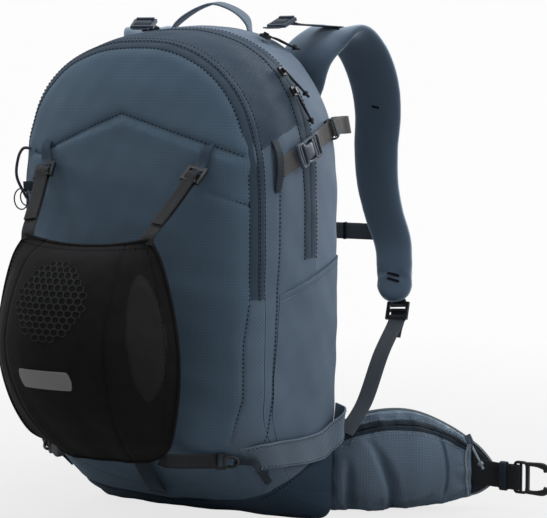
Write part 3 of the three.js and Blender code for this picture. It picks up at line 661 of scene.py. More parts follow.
def fabric(name, tone, weave, roughness=0.66, sheen=0.12, depth=0.35, contrast=0.25, uv=True, blotch=0.12,
           rim=None):
    """Woven material: thread pattern in colour and bump, broad colour variation, painted shade in creases and
    lighter edges.

    rim is the colour of a painted rim highlight, mixed in where the surface is seen edge on.
    """
    g = Graph(name)
    u, v = g.place(uv)
    height = weave(g, u, v)
    dark = tuple(c * (1 - contrast) for c in tone[:3]) + (1.0,)
    light = tuple(min(1.0, c * (1 + contrast)) for c in tone[:3]) + (1.0,)
    threads = g.mix(g.math("MINIMUM", height, 1.0), dark, light)
    cloudy = g.about(g.noise(14.0), 2 * blotch)
    # painted shade: darker in creases and hollows, lighter on convex edges, from the mesh's pointiness
    painted_hollow_shade = g.about(g.node("NewGeometry").outputs["Pointiness"], 2.0)
    tint = g.plus(1.0, g.plus(cloudy, painted_hollow_shade))
    base = g.node("VectorMath", {"operation": "SCALE"}, Vector=threads, Scale=tint).outputs[0]
    # painted rim highlight: the rim colour mixed into the base where the surface is seen edge on
    if rim:
        painted_rim_share = g.node("LayerWeight", Blend=0.5).outputs["Facing"]
        base = g.mix(g.math("POWER", painted_rim_share, 2.2), base, rim)
    fine = g.plus(height, g.times(g.noise(900.0, 2.0), 0.5))
    relief = g.node("Bump", Strength=depth, Distance=0.0006, Height=fine).outputs[0]
    rough = g.plus(roughness, g.about(g.noise(60.0), 0.2))
    shade = g.node("BsdfPrincipled", Base_Color=base, Roughness=rough, Sheen_Weight=sheen,
                   Sheen_Roughness=0.4, Normal=relief)
    shade.inputs["Specular IOR Level"].default_value = CLOTH_SPECULAR
    hue = tuple((c / max(tone[:3])) ** 0.6 for c in tone[:3]) + (1.0,)
    for glint in ("Specular Tint", "Sheen Tint"):
        shade.inputs[glint].default_value = hue
    g.node("OutputMaterial", Surface=shade.outputs[0])
    return g.material


def plastic(name, tone, roughness=0.38):
    """Moulded plastic: fine spark-eroded grain, soft gloss, painted shade in hollows and lighter edges."""
    g = Graph(name)
    grain = g.noise(1600.0, 2.0)
    # painted shade: darker in hollows and corners, lighter on convex edges, from the mesh's pointiness
    painted_hollow_shade = g.about(g.node("NewGeometry").outputs["Pointiness"], 1.6)
    tint = g.plus(1.0, g.plus(painted_hollow_shade, g.about(g.noise(45.0), 0.3)))
    base = g.node("VectorMath", {"operation": "SCALE"}, Vector=tone[:3], Scale=tint).outputs[0]
    relief = g.node("Bump", Strength=0.12, Distance=0.0003, Height=grain).outputs[0]
    rough = g.plus(roughness, g.about(g.noise(120.0), 0.2))
    shade = g.node("BsdfPrincipled", Base_Color=base, Roughness=rough, Normal=relief)
    g.node("OutputMaterial", Surface=shade.outputs[0])
    return g.material


RIPSTOP = fabric("ripstop", srgb(84, 104, 122), ripstop, contrast=0.05, depth=0.25)
# lighter copy of the ripstop for the hip pockets: the lighter tone is painted light on their upward-facing
# cloth, the lower roughness is the cloth's own gloss
HIP_RIPSTOP_PAINTED_LIGHT = fabric("hip_ripstop_painted_light", srgb(98, 115, 132), ripstop, contrast=0.08, roughness=0.45)
GUSSET = fabric("gusset_twill", srgb(46, 60, 75), twill(2.6), contrast=0.22, depth=0.5, sheen=0.05)
# lighter copy of the side twill: painted light on the top and the back of the sides
SIDE_TWILL_PAINTED_LIGHT = fabric("side_twill_painted_light", srgb(100, 116, 134), twill(1.8), contrast=0.1)
SIDE = fabric("side_twill", srgb(87, 103, 120), twill(1.8), contrast=0.1)
BASE = fabric("base_twill", srgb(41, 57, 73), twill(2.2, 0.62, 1.0), contrast=0.25, depth=0.5, sheen=0.05)
BAND = fabric("zip_tape", srgb(54, 68, 83), plain_weave, contrast=0.1, sheen=0.05)
BINDING = fabric("binding", srgb(34, 42, 50), ribbed_tape, contrast=0.2)
# the strap's light rim colour is a painted rim highlight along its edges
FOAM = fabric("strap_knit", srgb(78, 95, 113), knit, sheen=0.4, contrast=0.08, blotch=0.05,
              rim=srgb(192, 209, 226))
SPACER = fabric("spacer_mesh", srgb(42, 50, 58), spacer, contrast=0.5, depth=0.9, sheen=0.1)
FIN_MESH = fabric("fin_mesh", srgb(30, 34, 40), ribbed_tape, contrast=0.45, depth=0.8, sheen=0.1)
WEBBING = fabric("webbing_dark", srgb(66, 72, 80), webbing_weave, contrast=0.25, sheen=0.15)
WEBBING_BLACK = fabric("webbing_black", srgb(24, 25, 27), webbing_weave, contrast=0.3, sheen=0.1)
WEBBING_WARM = fabric("webbing_warm", srgb(84, 83, 84), webbing_weave, contrast=0.15)
WEBBING_SLATE = fabric("webbing_slate", srgb(100, 115, 130), ribbed_tape, contrast=0.2)
KNIT = fabric("holder_knit", srgb(8, 8, 9), knit, contrast=0.3, sheen=0.0, blotch=0.2, roughness=0.9)
HOLDER_SIDE = fabric("holder_side_mesh", srgb(24, 24, 25), twill(1.5), contrast=0.35, sheen=0.0,
                     roughness=0.85)
HOLDER_VENT = fabric("holder_vent_mesh", srgb(38, 39, 40), knit, contrast=0.2, sheen=0.0, roughness=0.8)
REFLECTIVE = fabric("reflective_patch", srgb(128, 129, 128), twill(1.2), contrast=0.1, roughness=0.4,
                    sheen=0.0)
CORD = fabric("cord_black", srgb(26, 29, 33), braid, contrast=0.5)
CORD_GREY = fabric("cord_grey", srgb(120, 130, 138), braid, contrast=0.3)
CORD_PLUM = fabric("cord_plum", srgb(62, 60, 76), braid, contrast=0.3)
THREAD = fabric("thread_black", srgb(8, 10, 12), braid, uv=False, contrast=0.2, sheen=0.0, roughness=0.95)
THREAD_LIGHT = fabric("thread_light", srgb(118, 132, 145), braid, uv=False, contrast=0.2)
BLACK_PLASTIC = plastic("plastic_black", srgb(26, 28, 31))
SLATE_PLASTIC = plastic("plastic_slate", srgb(66, 77, 92), 0.45)


# ---------------------------------------------------------------- the bag's skins
SKIN_CELL = 2.8
SHELL_THICK = 1.2
SIDE_SEAM = [(0.298, 0.5225), (0.27, 0.5265), (0.2, 0.5594), (0.1608, 0.6495)]
GUSSET_SEAM = [(0.3159, 0.6127), (0.3276, 0.384)]
GUSSET_BEND = 0.05
CHEVRON = [(0.679, 0.746), (0.678, 0.765), (0.504, 0.846), (0.3156, 0.7025)]
LOWER_SEAM = [(0.303, 0.811), (0.287, 0.69)]
FRONT_FOOT_SEAM = [(0.2394, 0.6887), (0.217, 0.711), (0.1854, 0.7078), (0.155, 0.7554)]
CORNER_PATCH = [(0.1058, 0.7896), (0.1456, 0.7546), (0.1407, 0.6912), (0.1032, 0.7479)]
FOOT_PLEAT = [(0.01, 0.766), (0.0593, 0.797), (0.1084, 0.823)]
FRONT_BAND_V = (0.618, 0.684)
FRONT_BAND_FOOT = 0.243
MAIN_BAND_V = (0.268, 0.352)
MAIN_BAND_FOOT = 0.262


def mirror_places(knots):
    return [(1 - s, v) for s, v in knots]


def seam_points(knots):
    return bare_point(*track(knots).T)


def drawn_in(points, knots, width=2.4, depth=0.9, puff=0.35, reach=11.0):
    """Fabric pulled down along a seam and standing up beside it."""
    gap = off_line(points, seam_points(knots))
    return -depth * np.exp(-((gap / width) ** 2)) + puff * np.exp(-(((gap - reach) / reach) ** 2))


def skin_grid(v, start, end):
    widest = np.interp(end, OUTLINE_S, OUTLINE_RUN) - np.interp(start, OUTLINE_S, OUTLINE_RUN)
    s, run = spread(start, end, int(widest.max() / SKIN_CELL))
    v = np.broadcast_to(v[:, None], s.shape)
    return s, v, run


def with_middle(grid, spare=0.01):
    """The grid and one more row of points, drawn together at the middle of its last row."""
    middle = grid[-1:].mean(1, keepdims=True)
    return np.concatenate([grid, mix(middle, grid[-1:], spare)])


def shell(name, s, v, relief, uv, materials, node, slot="shell", region=0, closed=False):
    """Skin of the bag over the places s, v; closed skins come together past their last row."""
    base = bare_point(s, v)
    normal = bag_normal(s, v)
    if closed:
        base, uv = with_middle(base), with_middle(uv)
        normal, relief, region = (np.concatenate([g, g[-1:]]) for g in (normal, relief, region))
    outer = base + normal * (swell(base) + relief)[..., None]
    build = sheet(Build(), outer, outer - normal * SHELL_THICK, uv, region)
    build.make(name, materials, "bag", slot, [node])


def profile_run(v):
    """Distance round the side at share v, for the weave."""
    p = knot_curve(SIDE_PROFILE, np.linspace(0, 1, 400)) * np.array([BAG_DEPTH, 1.0])
    return np.interp(v, np.linspace(0, 1, 400), lengths(p))


def along_gusset_seams(s, v):
    """Bend the skin's columns so that one runs along each gusset seam; also which cells lie above them."""
    places = track(GUSSET_SEAM)
    seam_s = np.interp(v[:, 0], places[::-1, 1], places[::-1, 0])
    edges = []
    for seam in (seam_s, 1 - seam_s):
        nearest = np.argmin(abs(s.mean(0) - seam.mean()))
        gap = (seam - s[:, nearest])[:, None]
        s = s + gap * bump(s, s[:, nearest][:, None], GUSSET_BEND)
        edges.append(nearest)
    column = np.arange(s.shape[1])
    above = (column >= edges[0]) & (column < edges[1])
    return s, np.broadcast_to(above, s.shape)


def main_skin():
    """Gusset, sides and top between the back panel and the front compartment."""
    v = np.linspace(0, SPLIT, 96)
    foot = base_foot(v)
    s, v, run = skin_grid(v, foot, 1 - foot)
    s, gusset = along_gusset_seams(s, v)
    base = bare_point(s, v)
    relief = drawn_in(base, SIDE_SEAM) + drawn_in(base, mirror_places(SIDE_SEAM))
    arch = smooth((np.minimum(s, 1 - s) - 0.27) / 0.06)
    relief += 1.2 * arch * bump(v, 0.48, 0.07)
    uv = np.stack([run, profile_run(v)], -1)
    middle = 0.5 * (v[1:, 1:] + v[:-1, 1:])
    # region 2, behind the main zip above the pockets, gets the lighter copy of the side twill as painted
    # light
    behind = (middle < MAIN_BAND_V[0]) & (np.minimum(s, 1 - s)[:-1, :-1] > pocket_hem(middle))
    region = np.where(behind, 2, (middle > MAIN_BAND_V[1]) & gusset[:-1, :-1])
    shell("main_shell", s, v, relief, uv, [SIDE, GUSSET, SIDE_TWILL_PAINTED_LIGHT], "main_bag", region=region)
    fold = Build()
    places = track(GUSSET_SEAM)
    normals = bag_normal(*places.T)
    line = bag_point(*places.T, 0.4)
    ribbon(fold, line, np.cross(normals, np.gradient(line, axis=0)), 3.0, 1.2)
    make_pair(fold, "gusset_seam_fold", [BAND], "bag", "shell")


def front_skin():
    """Front compartment: ripstop, and side fabric outside its lower seams."""
    s, _ = spread(np.zeros(1), np.ones(1), int(OUTLINE_TURN / SKIN_CELL))
    start = np.maximum(base_reach(s[0]), SPLIT + 0.003)
    share = np.linspace(0, 1, 118)[:, None] ** 0.85
    v = mix(start[None], 0.995, share)
    s = np.broadcast_to(s, v.shape)
    base = bare_point(s, v)
    relief = drawn_in(base, CHEVRON, depth=2.0, puff=1.0)
    below = (base[..., 2] < 470 - 0.33 * np.abs(base[..., 0])) & (v > 0.7)
    relief += np.where(below, 1.4, 0) * smooth((v - 0.7) / 0.05)
    for knots in (LOWER_SEAM, FRONT_FOOT_SEAM, CORNER_PATCH, FOOT_PLEAT):
        relief += drawn_in(base, knots) + drawn_in(base, mirror_places(knots))
    relief = np.clip(relief, -2.6, 4)
    uv = np.stack([base[..., 0], base[..., 2]], -1)
    beside = np.minimum(s, 1 - s)
    seam_s, seam_v = np.array(FRONT_FOOT_SEAM)[::-1].T
    outside = (beside < FRONT_BAND_FOOT) & (beside > 0.1) & (v < np.interp(beside, seam_s, seam_v))
    region = outside[:-1, :-1].astype(int)
    shell("front_shell", s, v, relief, uv, [RIPSTOP, SIDE], "front_compartment", region=region, closed=True)


def base_skin():
    reach = np.interp(BASE_END, OUTLINE_S, OUTLINE_RUN)
    s, run = spread(np.array([-BASE_END]), np.array([BASE_END]), int(2 * reach / SKIN_CELL))
    v = base_reach(s[0])[None] * np.linspace(0, 1, 100)[:, None]
    s = np.broadcast_to(s, v.shape)
    base = bare_point(s, v)
    relief = 0.8 * ripple(base, 21, 40, 90)
    uv = np.stack([np.broadcast_to(run, v.shape), profile_run(v)], -1)
    shell("base_shell", s, v, relief, uv, [BASE], "base_panel", "base")


def back_panel():
    """Fabric across the back of the bag, behind the pad."""
    rim_s = np.linspace(0, 1, 361)
    rim = bare_point(rim_s, 0.0)
    share = np.linspace(0, 1, 60)[:, None, None]
    middle = np.array([0, BACK_Y, MIDDLE_Z])
    face = mix(middle, rim[None], share)
    face[..., 1] = BACK_Y - 1.0 + 0.5 * ripple(face, 31, 50, 120)
    uv = face[..., [0, 2]]
    build = sheet(Build(), face, face - np.array([0, 1.2, 0]), uv)
    build.make("back_panel", [SIDE], "bag", "shell")


def base_line(below):
    """Places along the base's seam, or a share below it, from back edge to back edge."""
    s = np.linspace(-BASE_END, BASE_END, 700)
    return along_places(np.stack([s, np.maximum(base_reach(s) - below, 0)], -1))


def seam_stitches():
    """Every visible row of stitching on the bag."""
    dark = Build()
    rows = [(track(knots), 0.3) for knots in (CHEVRON, LOWER_SEAM)]
    for knots in (SIDE_SEAM, GUSSET_SEAM, FRONT_FOOT_SEAM, CORNER_PATCH):
        rows += [(track(knots), 0.3), (track(mirror_places(knots)), 0.3)]
    for v, foot, off in (
        (FRONT_BAND_V[0] - 0.002, FRONT_BAND_FOOT, 0.3),
        (FRONT_BAND_V[1] + 0.003, FRONT_BAND_FOOT, 0.3),
        (0.645, FRONT_BAND_FOOT, 1.3),
        (MAIN_BAND_V[0] - 0.003, MAIN_BAND_FOOT, 0.3),
        (MAIN_BAND_V[1] + 0.003, MAIN_BAND_FOOT, 0.3),
    ):
        rows.append((round_bag(v, foot), off))
    for places, off in rows:
        s, v = places.T
        stitches(dark, bag_point(s, v, off), bag_normal(s, v))
    s, v = base_line(0.012).T
    stitches(dark, bag_point(s, v, 0.5), bag_normal(s, v))
    dark.make("stitching_dark", [THREAD], "bag", "cordage")


def base_piping():
    """Thin cord sewn into the seam between the base and the body."""
    s, v = base_line(0.0).T
    tube(Build(), bag_point(s, v, 0.2), 0.9).make("base_piping", [BINDING], "bag", "base")


# ---------------------------------------------------------------- zips
def tape(build, foot, v_range, top, lips, material=0):
    """Raised zip cover sewn down on both edges, with the opening along its middle."""
    places = round_bag(np.mean(v_range), foot)
    share = np.linspace(0, 1, 15)
    s = places[:, 0][:, None] + 0 * share
    v = mix(v_range[0], v_range[1], share)[None] + 0 * s
    edge = np.minimum(share, 1 - share) * 2
    rise = top * smooth(edge / 0.25) - lips * bump(share, 0.5, 0.05)
    base = bag_point(s, v)
    normal = bag_normal(s, v)
    outer = base + normal * (0.4 + rise)[None, :, None]
    inner = base + normal * 0.1
    run = np.broadcast_to(lengths(base[:, 7])[:, None], s.shape)
    sheet(build, outer, inner, np.stack([run, profile_run(v)], -1), material)


def coil(build, foot, v, off, pitch=1.7):
    """Zip teeth: a row of small rounded bars across the opening."""
    s, v = round_bag(v, foot).T
    stitches(build, bag_point(s, v, off), bag_normal(s, v), pitch=pitch, length=1.2, width=1.7, height=0.4)


def zips():
    for name, foot, v_range, node in (
        ("front_zip_cover", FRONT_BAND_FOOT, FRONT_BAND_V, "front_zip"),
        ("main_zip_cover", MAIN_BAND_FOOT, MAIN_BAND_V, "main_zip"),
    ):
        cover = Build()
        tape(cover, foot, v_range, 0.7, 0.7)
        cover.make(name, [BAND], "bag", "shell", [node])
        teeth = Build()
        coil(teeth, foot, np.mean(v_range), 0.4)
        teeth.make(node + "_coil", [THREAD], "bag", "cordage")


# ---------------------------------------------------------------- pieces made in pairs
def make_pair(build, name, materials, body, slot, nodes=(), other=None):
    """Makes a piece on both sides. body and nodes hold {} where the side's name goes."""
    pieces = []
    for side, one in (("right", build), ("left", other or build.mirrored())):
        swapped = [n.format(side) for n in nodes]
        pieces.append(one.make(f"{name}_{side}", materials, body.format(side), slot, swapped))
    return pieces


def bar(build, a, b, across, width, thick, material=0):
    """Straight moulded bar with rounded edges."""
    path = mix(np.asarray(a, float), np.asarray(b, float), np.array([0, 0.04, 0.5, 0.96, 1])[:, None])
    taper = np.array([0.8, 1, 1, 1, 0.8])
    return ribbon(build, path, across, width * taper, thick * taper, material)


class Seat:
    """Local axes for a small fitting: x along its webbing, y across, z off the surface."""

    def __init__(self, at, along, off):
        self.at = np.asarray(at, float)
        self.x = unit(np.asarray(along, float))
        off = np.asarray(off, float)
        self.z = unit(off - self.x * (off @ self.x))
        self.y = np.cross(self.z, self.x)

    def __call__(self, x, y, z):
        steps = zip((x, y, z), (self.x, self.y, self.z))
        return self.at + sum(np.multiply.outer(step, axis) for step, axis in steps)


# ---------------------------------------------------------------- pockets and loops on the bag
def pocket_foot(v):
    return 0.166 - 0.012 * v


def pocket_hem(v):
    return 0.262 - 0.034 * v


def side_pockets():
    """Flat stretch pocket under a folded hem, from the side seam to the back edge."""
    b = np.linspace(0, 1, 90)
    a = np.linspace(0, 1, 100)[:, None]
    v = mix(0.03, 0.55, b)[None] + 0 * a
    s = mix(pocket_foot(v) - 0.002, pocket_hem(v), a)
    seam = np.interp(s, [0.159, 0.167, 0.2, 0.244], [0.575, 0.5665, 0.554, 0.522])
    v = mix(0.03, seam, b[None])
    s = mix(pocket_foot(v) - 0.002, pocket_hem(v), a)
    arch = np.sin(math.pi * b)[None] ** 0.6
    slack = 2.6 * smooth(a / 0.9) * arch
    hem = 1.4 * smooth((a - 0.965) / 0.02) * arch
    crease = 0.7 * np.sin(18 * a + 9 * b[None]) * arch * smooth(a * 3) * smooth((1 - a) * 4)
    normal = bag_normal(s, v)
    face = bag_point(s, v) + normal * (0.8 + slack + hem + crease)[..., None]
    under = bag_point(s, v) + normal * (0.2 + 0.6 * slack)[..., None]
    run = np.interp(s, OUTLINE_S, OUTLINE_RUN)
    build = sheet(Build(), face, under, np.stack([run, profile_run(v)], -1))
    make_pair(build, "side_pocket_cloth", [SIDE], "bag", "shell", ["side_pocket_{}"])
    rows = Build()
    line = 0.955
    hem_v = mix(0.04, 0.52, np.linspace(0, 1, 120))
    hem_s = mix(pocket_foot(hem_v), pocket_hem(hem_v), line)
    lift = 0.8 + 2.6 * np.sin(math.pi * np.linspace(0, 1, 120)) ** 0.6 + 0.3
    stitches(rows, bag_point(hem_s, hem_v, lift), bag_normal(hem_s, hem_v), width=0.7)
    make_pair(rows, "pocket_hem_stitches", [THREAD_LIGHT], "bag", "cordage")


SKI_LOOP_TOP = [(0.02, 0.1765), (0.25, 0.1672), (0.65, 0.162), (0.74, 0.1531)]
SKI_LOOP_V = (0.735, 0.016)
SKI_LOOP_SHARE = 0.0155  # its width as a share of the outline


def ski_loop_place(along, across, lift=0.0):
    """A point on the loop: share along it from the front, share across it from the lower edge."""
    v = mix(*SKI_LOOP_V, along)
    s = knot_curve(SKI_LOOP_TOP, v)[..., 0] - SKI_LOOP_SHARE * (1 - across)
    stand = 1.0 + 3.6 * smooth(along * 6) + 8.5 * smooth((along - 0.62) / 0.3) ** 2
    stand = stand * smooth((1.02 - along) * 16)
    wave = 0.6 * np.sin(along * 21) * smooth(along * 6) * smooth((1 - along) * 6)
    return bag_point(s, v, 0.8 + stand + wave + lift)


def ski_loops():
    """Wide loop for a ski tail, from the front of the base round to the back corner."""
    a, b = np.broadcast_arrays(np.linspace(0, 1, 150)[:, None], np.linspace(0, 1, 17)[None])
    edge = 0.6 * (np.abs(2 * b - 1) > 0.86)
    outer = ski_loop_place(a, b, edge)
    inner = ski_loop_place(a, b, -1.3)
    run = np.broadcast_to(lengths(outer[:, 8])[:, None], a.shape)
    build = sheet(Build(), outer, inner, np.stack([34.0 * b, run], -1))
    make_pair(build, "ski_loop_band", [WEBBING_SLATE], "bag", "webbing", ["ski_loop_{}"])
    rows = Build()
    along = np.linspace(0.03, 0.95, 200)
    for share in (0.07, 0.93):
        v = mix(*SKI_LOOP_V, along)
        normals = bag_normal(knot_curve(SKI_LOOP_TOP, v)[..., 0], v)
        stitches(rows, ski_loop_place(along, share, 0.7), normals, width=0.6)
    make_pair(rows, "ski_loop_stitches", [THREAD], "bag", "cordage")


def daisy_loops():
    s = np.array([0.2895, 0.293, 0.299, 0.305, 0.311, 0.316, 0.3185])
    v = np.interp(s, [0.29, 0.318], [0.545, 0.528])
    lift = np.array([1.0, 2.6, 5.2, 6.2, 5.2, 2.6, 1.0])
    path = curve(bag_point(s, v, lift), 1.2)
    across = bag_point(0.305, 0.52) - bag_point(0.305, 0.56)
    width = np.interp(np.linspace(0, 1, len(path)), [0, 0.12, 1], [8, 13, 13])
    build = ribbon(Build(), path, across, width, 1.8)
    make_pair(build, "daisy_loop_band", [BINDING], "bag", "webbing", ["daisy_loop_{}"])


# ---------------------------------------------------------------- upper compression strap
def strap_s(v):
    """Place round the outline of the strap's middle, at share v of the side."""
    return mix(0.3244, 0.3019, (v - 0.046) / 0.444)


def compression_straps():
    """Webbing from the daisy loop through the release buckle to the back edge, with its rolled end."""
    up = bag_point(0.33, 0.3) - bag_point(0.31, 0.3)
    v = np.array([0.515, 0.5, 0.46, 0.43, 0.42, 0.41])
    front = bag_point(strap_s(v), v, np.array([1.2, 1.8, 2.6, 5.0, 8.4, 10.0]))
    build = webbing(Build(), front, up, WIDE_WEBBING, 1.7, 1.2)
    make_pair(build, "compression_strap_front", [WEBBING_WARM], "bag", "webbing")
    v = np.array([0.302, 0.292, 0.275, 0.25, 0.2, 0.13, 0.06, 0.03])
    lift = np.array([10.0, 8.8, 5.4, 3.8, 3.0, 3.2, 3.6, 3.4])
    edge = bare_point(strap_s(0.02), 0.02)
    tail = [edge + np.array(d) for d in ([3, 5, 1], [8, 12, 1.5], [15, 15, 2], [20, 10, 2], [17, 1, 1.5])]
    fold = bag_point(strap_s(np.array([0.07, 0.11])), np.array([0.07, 0.11]), np.array([10.0, 6.4]))
    build = webbing(Build(), np.r_[bag_point(strap_s(v), v, lift), tail, fold], up, WIDE_WEBBING, 1.7)
    keeper_at = bag_point(strap_s(0.11), 0.11, 5.0)
    along = unit(bag_point(strap_s(0.09), 0.09) - bag_point(strap_s(0.13), 0.13))
    seat = Seat(keeper_at, along, bag_normal(strap_s(0.11), 0.11))
    ring = []
    for angle in np.linspace(0, 2 * math.pi * 0.98, 40):
        c, d = math.cos(angle), math.sin(angle)
        ring.append(seat(0, 11.6 * np.sign(c) * abs(c) ** 0.35, 5.6 * np.sign(d) * abs(d) ** 0.5))
    ribbon(build, np.array(ring), along, 7, 1.2, 1)
    make_pair(build, "compression_strap_back", [WEBBING_WARM, BINDING], "bag", "webbing",
              ["compression_strap_rear_{}"])


# ---------------------------------------------------------------- zip pulls and cords
def pull_cord(build, start, end, droop, tail=6.0, gap=1.9, radius=1.15):
    """Two strands from a slider's wire loop to a knot with two short tails."""
    start, end = np.asarray(start, float), np.asarray(end, float)
    along = unit(end - start)
    side = unit(np.cross(along, np.asarray(droop, float)))
    ring = np.linspace(0, 2 * math.pi, 26)
    wire = start + along * (4.4 + 5.4 * np.cos(ring))[:, None] + side * (2.7 * np.sin(ring))[:, None]
    tube(build, wire, 0.75, 6, 1)
    for sign in (-1, 1):
        strand = [
            start + along * 8.8 + side * sign * 0.5,
            mix(start, end, 0.4) + side * sign * gap + np.asarray(droop) * 0.6,
            mix(start, end, 0.75) + side * sign * gap * 0.8,
            end + side * sign * 0.3,
        ]
        tube(build, curve(strand, 1.0), radius, 7)
        loose = [end, end + along * tail * 0.5 + side * sign * 1.2, end + along * tail + side * sign * 2.6]
        tube(build, curve(loose, 0.8), radius, 7)
    knot(build, end, along, 2.7, radius * 1.05)


def zip_pulls():
    middle = 0.3325  # where the main zip's opening runs
    mirrored = 1 - 0.262
    for name, body, nodes, start, end, droop, tail in (
        ("pull_main_upper", "main_pull_upper", ["main_zip_pull_upper"],
         (0.378, middle, 8.6), (0.352, 0.275, 8.5), [0, 0, -1], 6.0),
        ("pull_main_lower", "main_pull_lower", ["main_zip_pull_lower"],
         (0.356, middle, 8.0), (0.3295, 0.288, 6.5), [0, 0, -1], 4.5),
        ("pull_top", "top_slider", (), (0.43, 0.16, 8.0), (0.408, 0.045, 7.5), [0, 0, 1], 6.0),
        ("pull_front", "front_slider", (), (mirrored, 0.652, 8.0), (1 - 0.249, 0.645, 6.5), [0, -1, 0], 6.0),
    ):
        build = Build()
        pull_cord(build, bag_point(*start), bag_point(*end), droop, tail)
        build.make(name, [CORD, BLACK_PLASTIC], body, "cordage", nodes)


def loops_and_cords():
    half = [(52, 21, 569), (48, 24, 578), (37, 30, 588.5), (20, 32, 597.5)]
    path = curve([(-x, y, z) for x, y, z in half] + [(0, 32, 602.5)] + half[::-1], 1.5)
    share = np.linspace(0, 1, len(path))
    width = mix(9, 20, smooth(np.minimum(share, 1 - share) / 0.2))
    build = ribbon(Build(), path, (0, 1, 0.1), width, 2.6)
    build.make("haul_loop_band", [WEBBING_SLATE], "haul_loop", "webbing", ["haul_loop"])

    v = np.array([0.735, 0.76, 0.79, 0.82, 0.845, 0.87])
    lift = np.array([1.0, 5.0, 10.0, 11.0, 6.5, 1.2])
    s = 0.025 * (v - 0.735) / 0.105 - 0.012
    build = webbing(Build(), bag_point(s, v, lift), (1, 0, 0), WIDE_WEBBING, 1.8)
    build.make("tool_loop_band", [BINDING], "bag", "webbing", ["tool_loop"])


def axe_fittings():
    """Purple stiffened loop, stub tab and thin elastic on the left edge of the front."""
    arc = curve([bag_point(0.681, 0.715, 0.5), bag_point(0.683, 0.7, 8), bag_point(0.691, 0.688, 12.5),
                 bag_point(0.703, 0.688, 12.0), bag_point(0.713, 0.7, 0.8)], 1.0)
    tube(Build(), arc, 1.7, 9).make("axe_loop", [CORD_PLUM], "bag", "cordage", ["axe_cord"])
    tab = [bag_point(0.703, 0.765, 0.5), bag_point(0.704, 0.75, 6), bag_point(0.705, 0.74, 11)]
    webbing(Build(), tab, (0, 0.3, 1), 11, 2.2).make("axe_tab", [BINDING], "bag", "webbing")
    build = Build()
    for size, lean in ((15, 2), (19, -5)):
        angle = np.linspace(0.1, 2 * math.pi - 0.1, 40)
        root = bag_point(0.706, 0.745, 8.0)
        ring = root + np.stack([
            size * 0.5 * np.sin(angle) + lean, 0 * angle - 4 - 0.1 * lean, size * (np.cos(angle) - 1) * 0.62,
        ], -1)
        tube(build, ring, 0.8, 7)
    build.make("axe_elastic", [CORD], "bag", "cordage")


# ---------------------------------------------------------------- cloth simulation of padded pieces
CLOTH_CELL = 5.5
CLOTH_FRAMES = 18
CLOTH_PRESSURE = 4.0
CLOTH_SLACK = 0.05


def coordinates(mesh):
    flat = np.empty(len(mesh.vertices) * 3, np.float32)
    mesh.vertices.foreach_get("co", flat)
    return flat.reshape(-1, 3).astype(float)


def tree_of(points):
    tree = KDTree(len(points))
    for i, point in enumerate(points):
        tree.insert(point, i)
    tree.balance()
    return tree


def fill(piece, trims, sewn, sewn_reach, most):
    """Moves a padded skin, and the trims on it, by what pressure does to a cloth copy of it.

    The copy is held at the sewn points. Lengths are in millimetres; most is the furthest move.
    """
    scene = bpy.context.scene
    copy = bpy.data.objects.new("cloth_copy", piece.data.copy())
    scene.collection.objects.link(copy)
    remesh = copy.modifiers.new("even_cells", "REMESH")
    remesh.mode = "VOXEL"
    remesh.voxel_size = CLOTH_CELL * MM
    graph = bpy.context.evaluated_depsgraph_get()
    copy.data = bpy.data.meshes.new_from_object(copy.evaluated_get(graph))
    copy.modifiers.clear()
    start = coordinates(copy.data)
    anchors = tree_of((np.asarray(sewn).reshape(-1, 3) - ORIGIN) * MM)
    held = [i for i, point in enumerate(start) if anchors.find(point)[2] < sewn_reach * MM]
    copy.vertex_groups.new(name="sewn").add(held, 1.0, "REPLACE")
    cloth = copy.modifiers.new("cloth", "CLOTH")
    cloth.settings.vertex_group_mass = "sewn"
    cloth.settings.use_pressure = True
    cloth.settings.uniform_pressure_force = CLOTH_PRESSURE
    cloth.settings.shrink_min = -CLOTH_SLACK
    cloth.settings.effector_weights.gravity = 0.0
    cloth.point_cache.frame_end = CLOTH_FRAMES
    for step in range(1, CLOTH_FRAMES + 1):
        scene.frame_set(step)
    graph = bpy.context.evaluated_depsgraph_get()
    move = coordinates(copy.evaluated_get(graph).data) - start
    far = np.linalg.norm(move, axis=1, keepdims=True)
    move *= most * MM * np.tanh(far / (most * MM)) / np.maximum(far, 1e-9)
    bpy.data.objects.remove(copy)
    scene.frame_set(1)
    near = tree_of(start)
    for thing in (piece, *trims):
        points = coordinates(thing.data)
        for i, point in enumerate(points):
            found = near.find_n(point, 4)
            weight = np.array([1 / (gap + 0.001) for _, _, gap in found])
            points[i] = point + weight @ move[[index for _, index, _ in found]] / weight.sum()
        thing.data.vertices.foreach_set("co", points.astype(np.float32).ravel())
        thing.data.update()


# ---------------------------------------------------------------- harness
STRAP_PATH = [
    (92, 55.5, 492), (104, 62.5, 535), (118, 84, 559), (134, 106, 566), (146, 130, 545), (152, 150, 508),
    (152, 162, 470), (146, 171, 430), (147, 174, 388), (156, 175, 348), (168, 173, 316), (175, 163, 288),
    (180, 151, 264), (180, 140, 248),
]
STRAP_ACROSS = (1, 0.12, 0)


def rounded_ring(sides, power):
    angle = np.linspace(0, 2 * math.pi, sides, endpoint=False)
    c, s = np.cos(angle), np.sin(angle)
    return np.sign(c) * np.abs(c) ** (2 / power), np.sign(s) * np.abs(s) ** (2 / power)


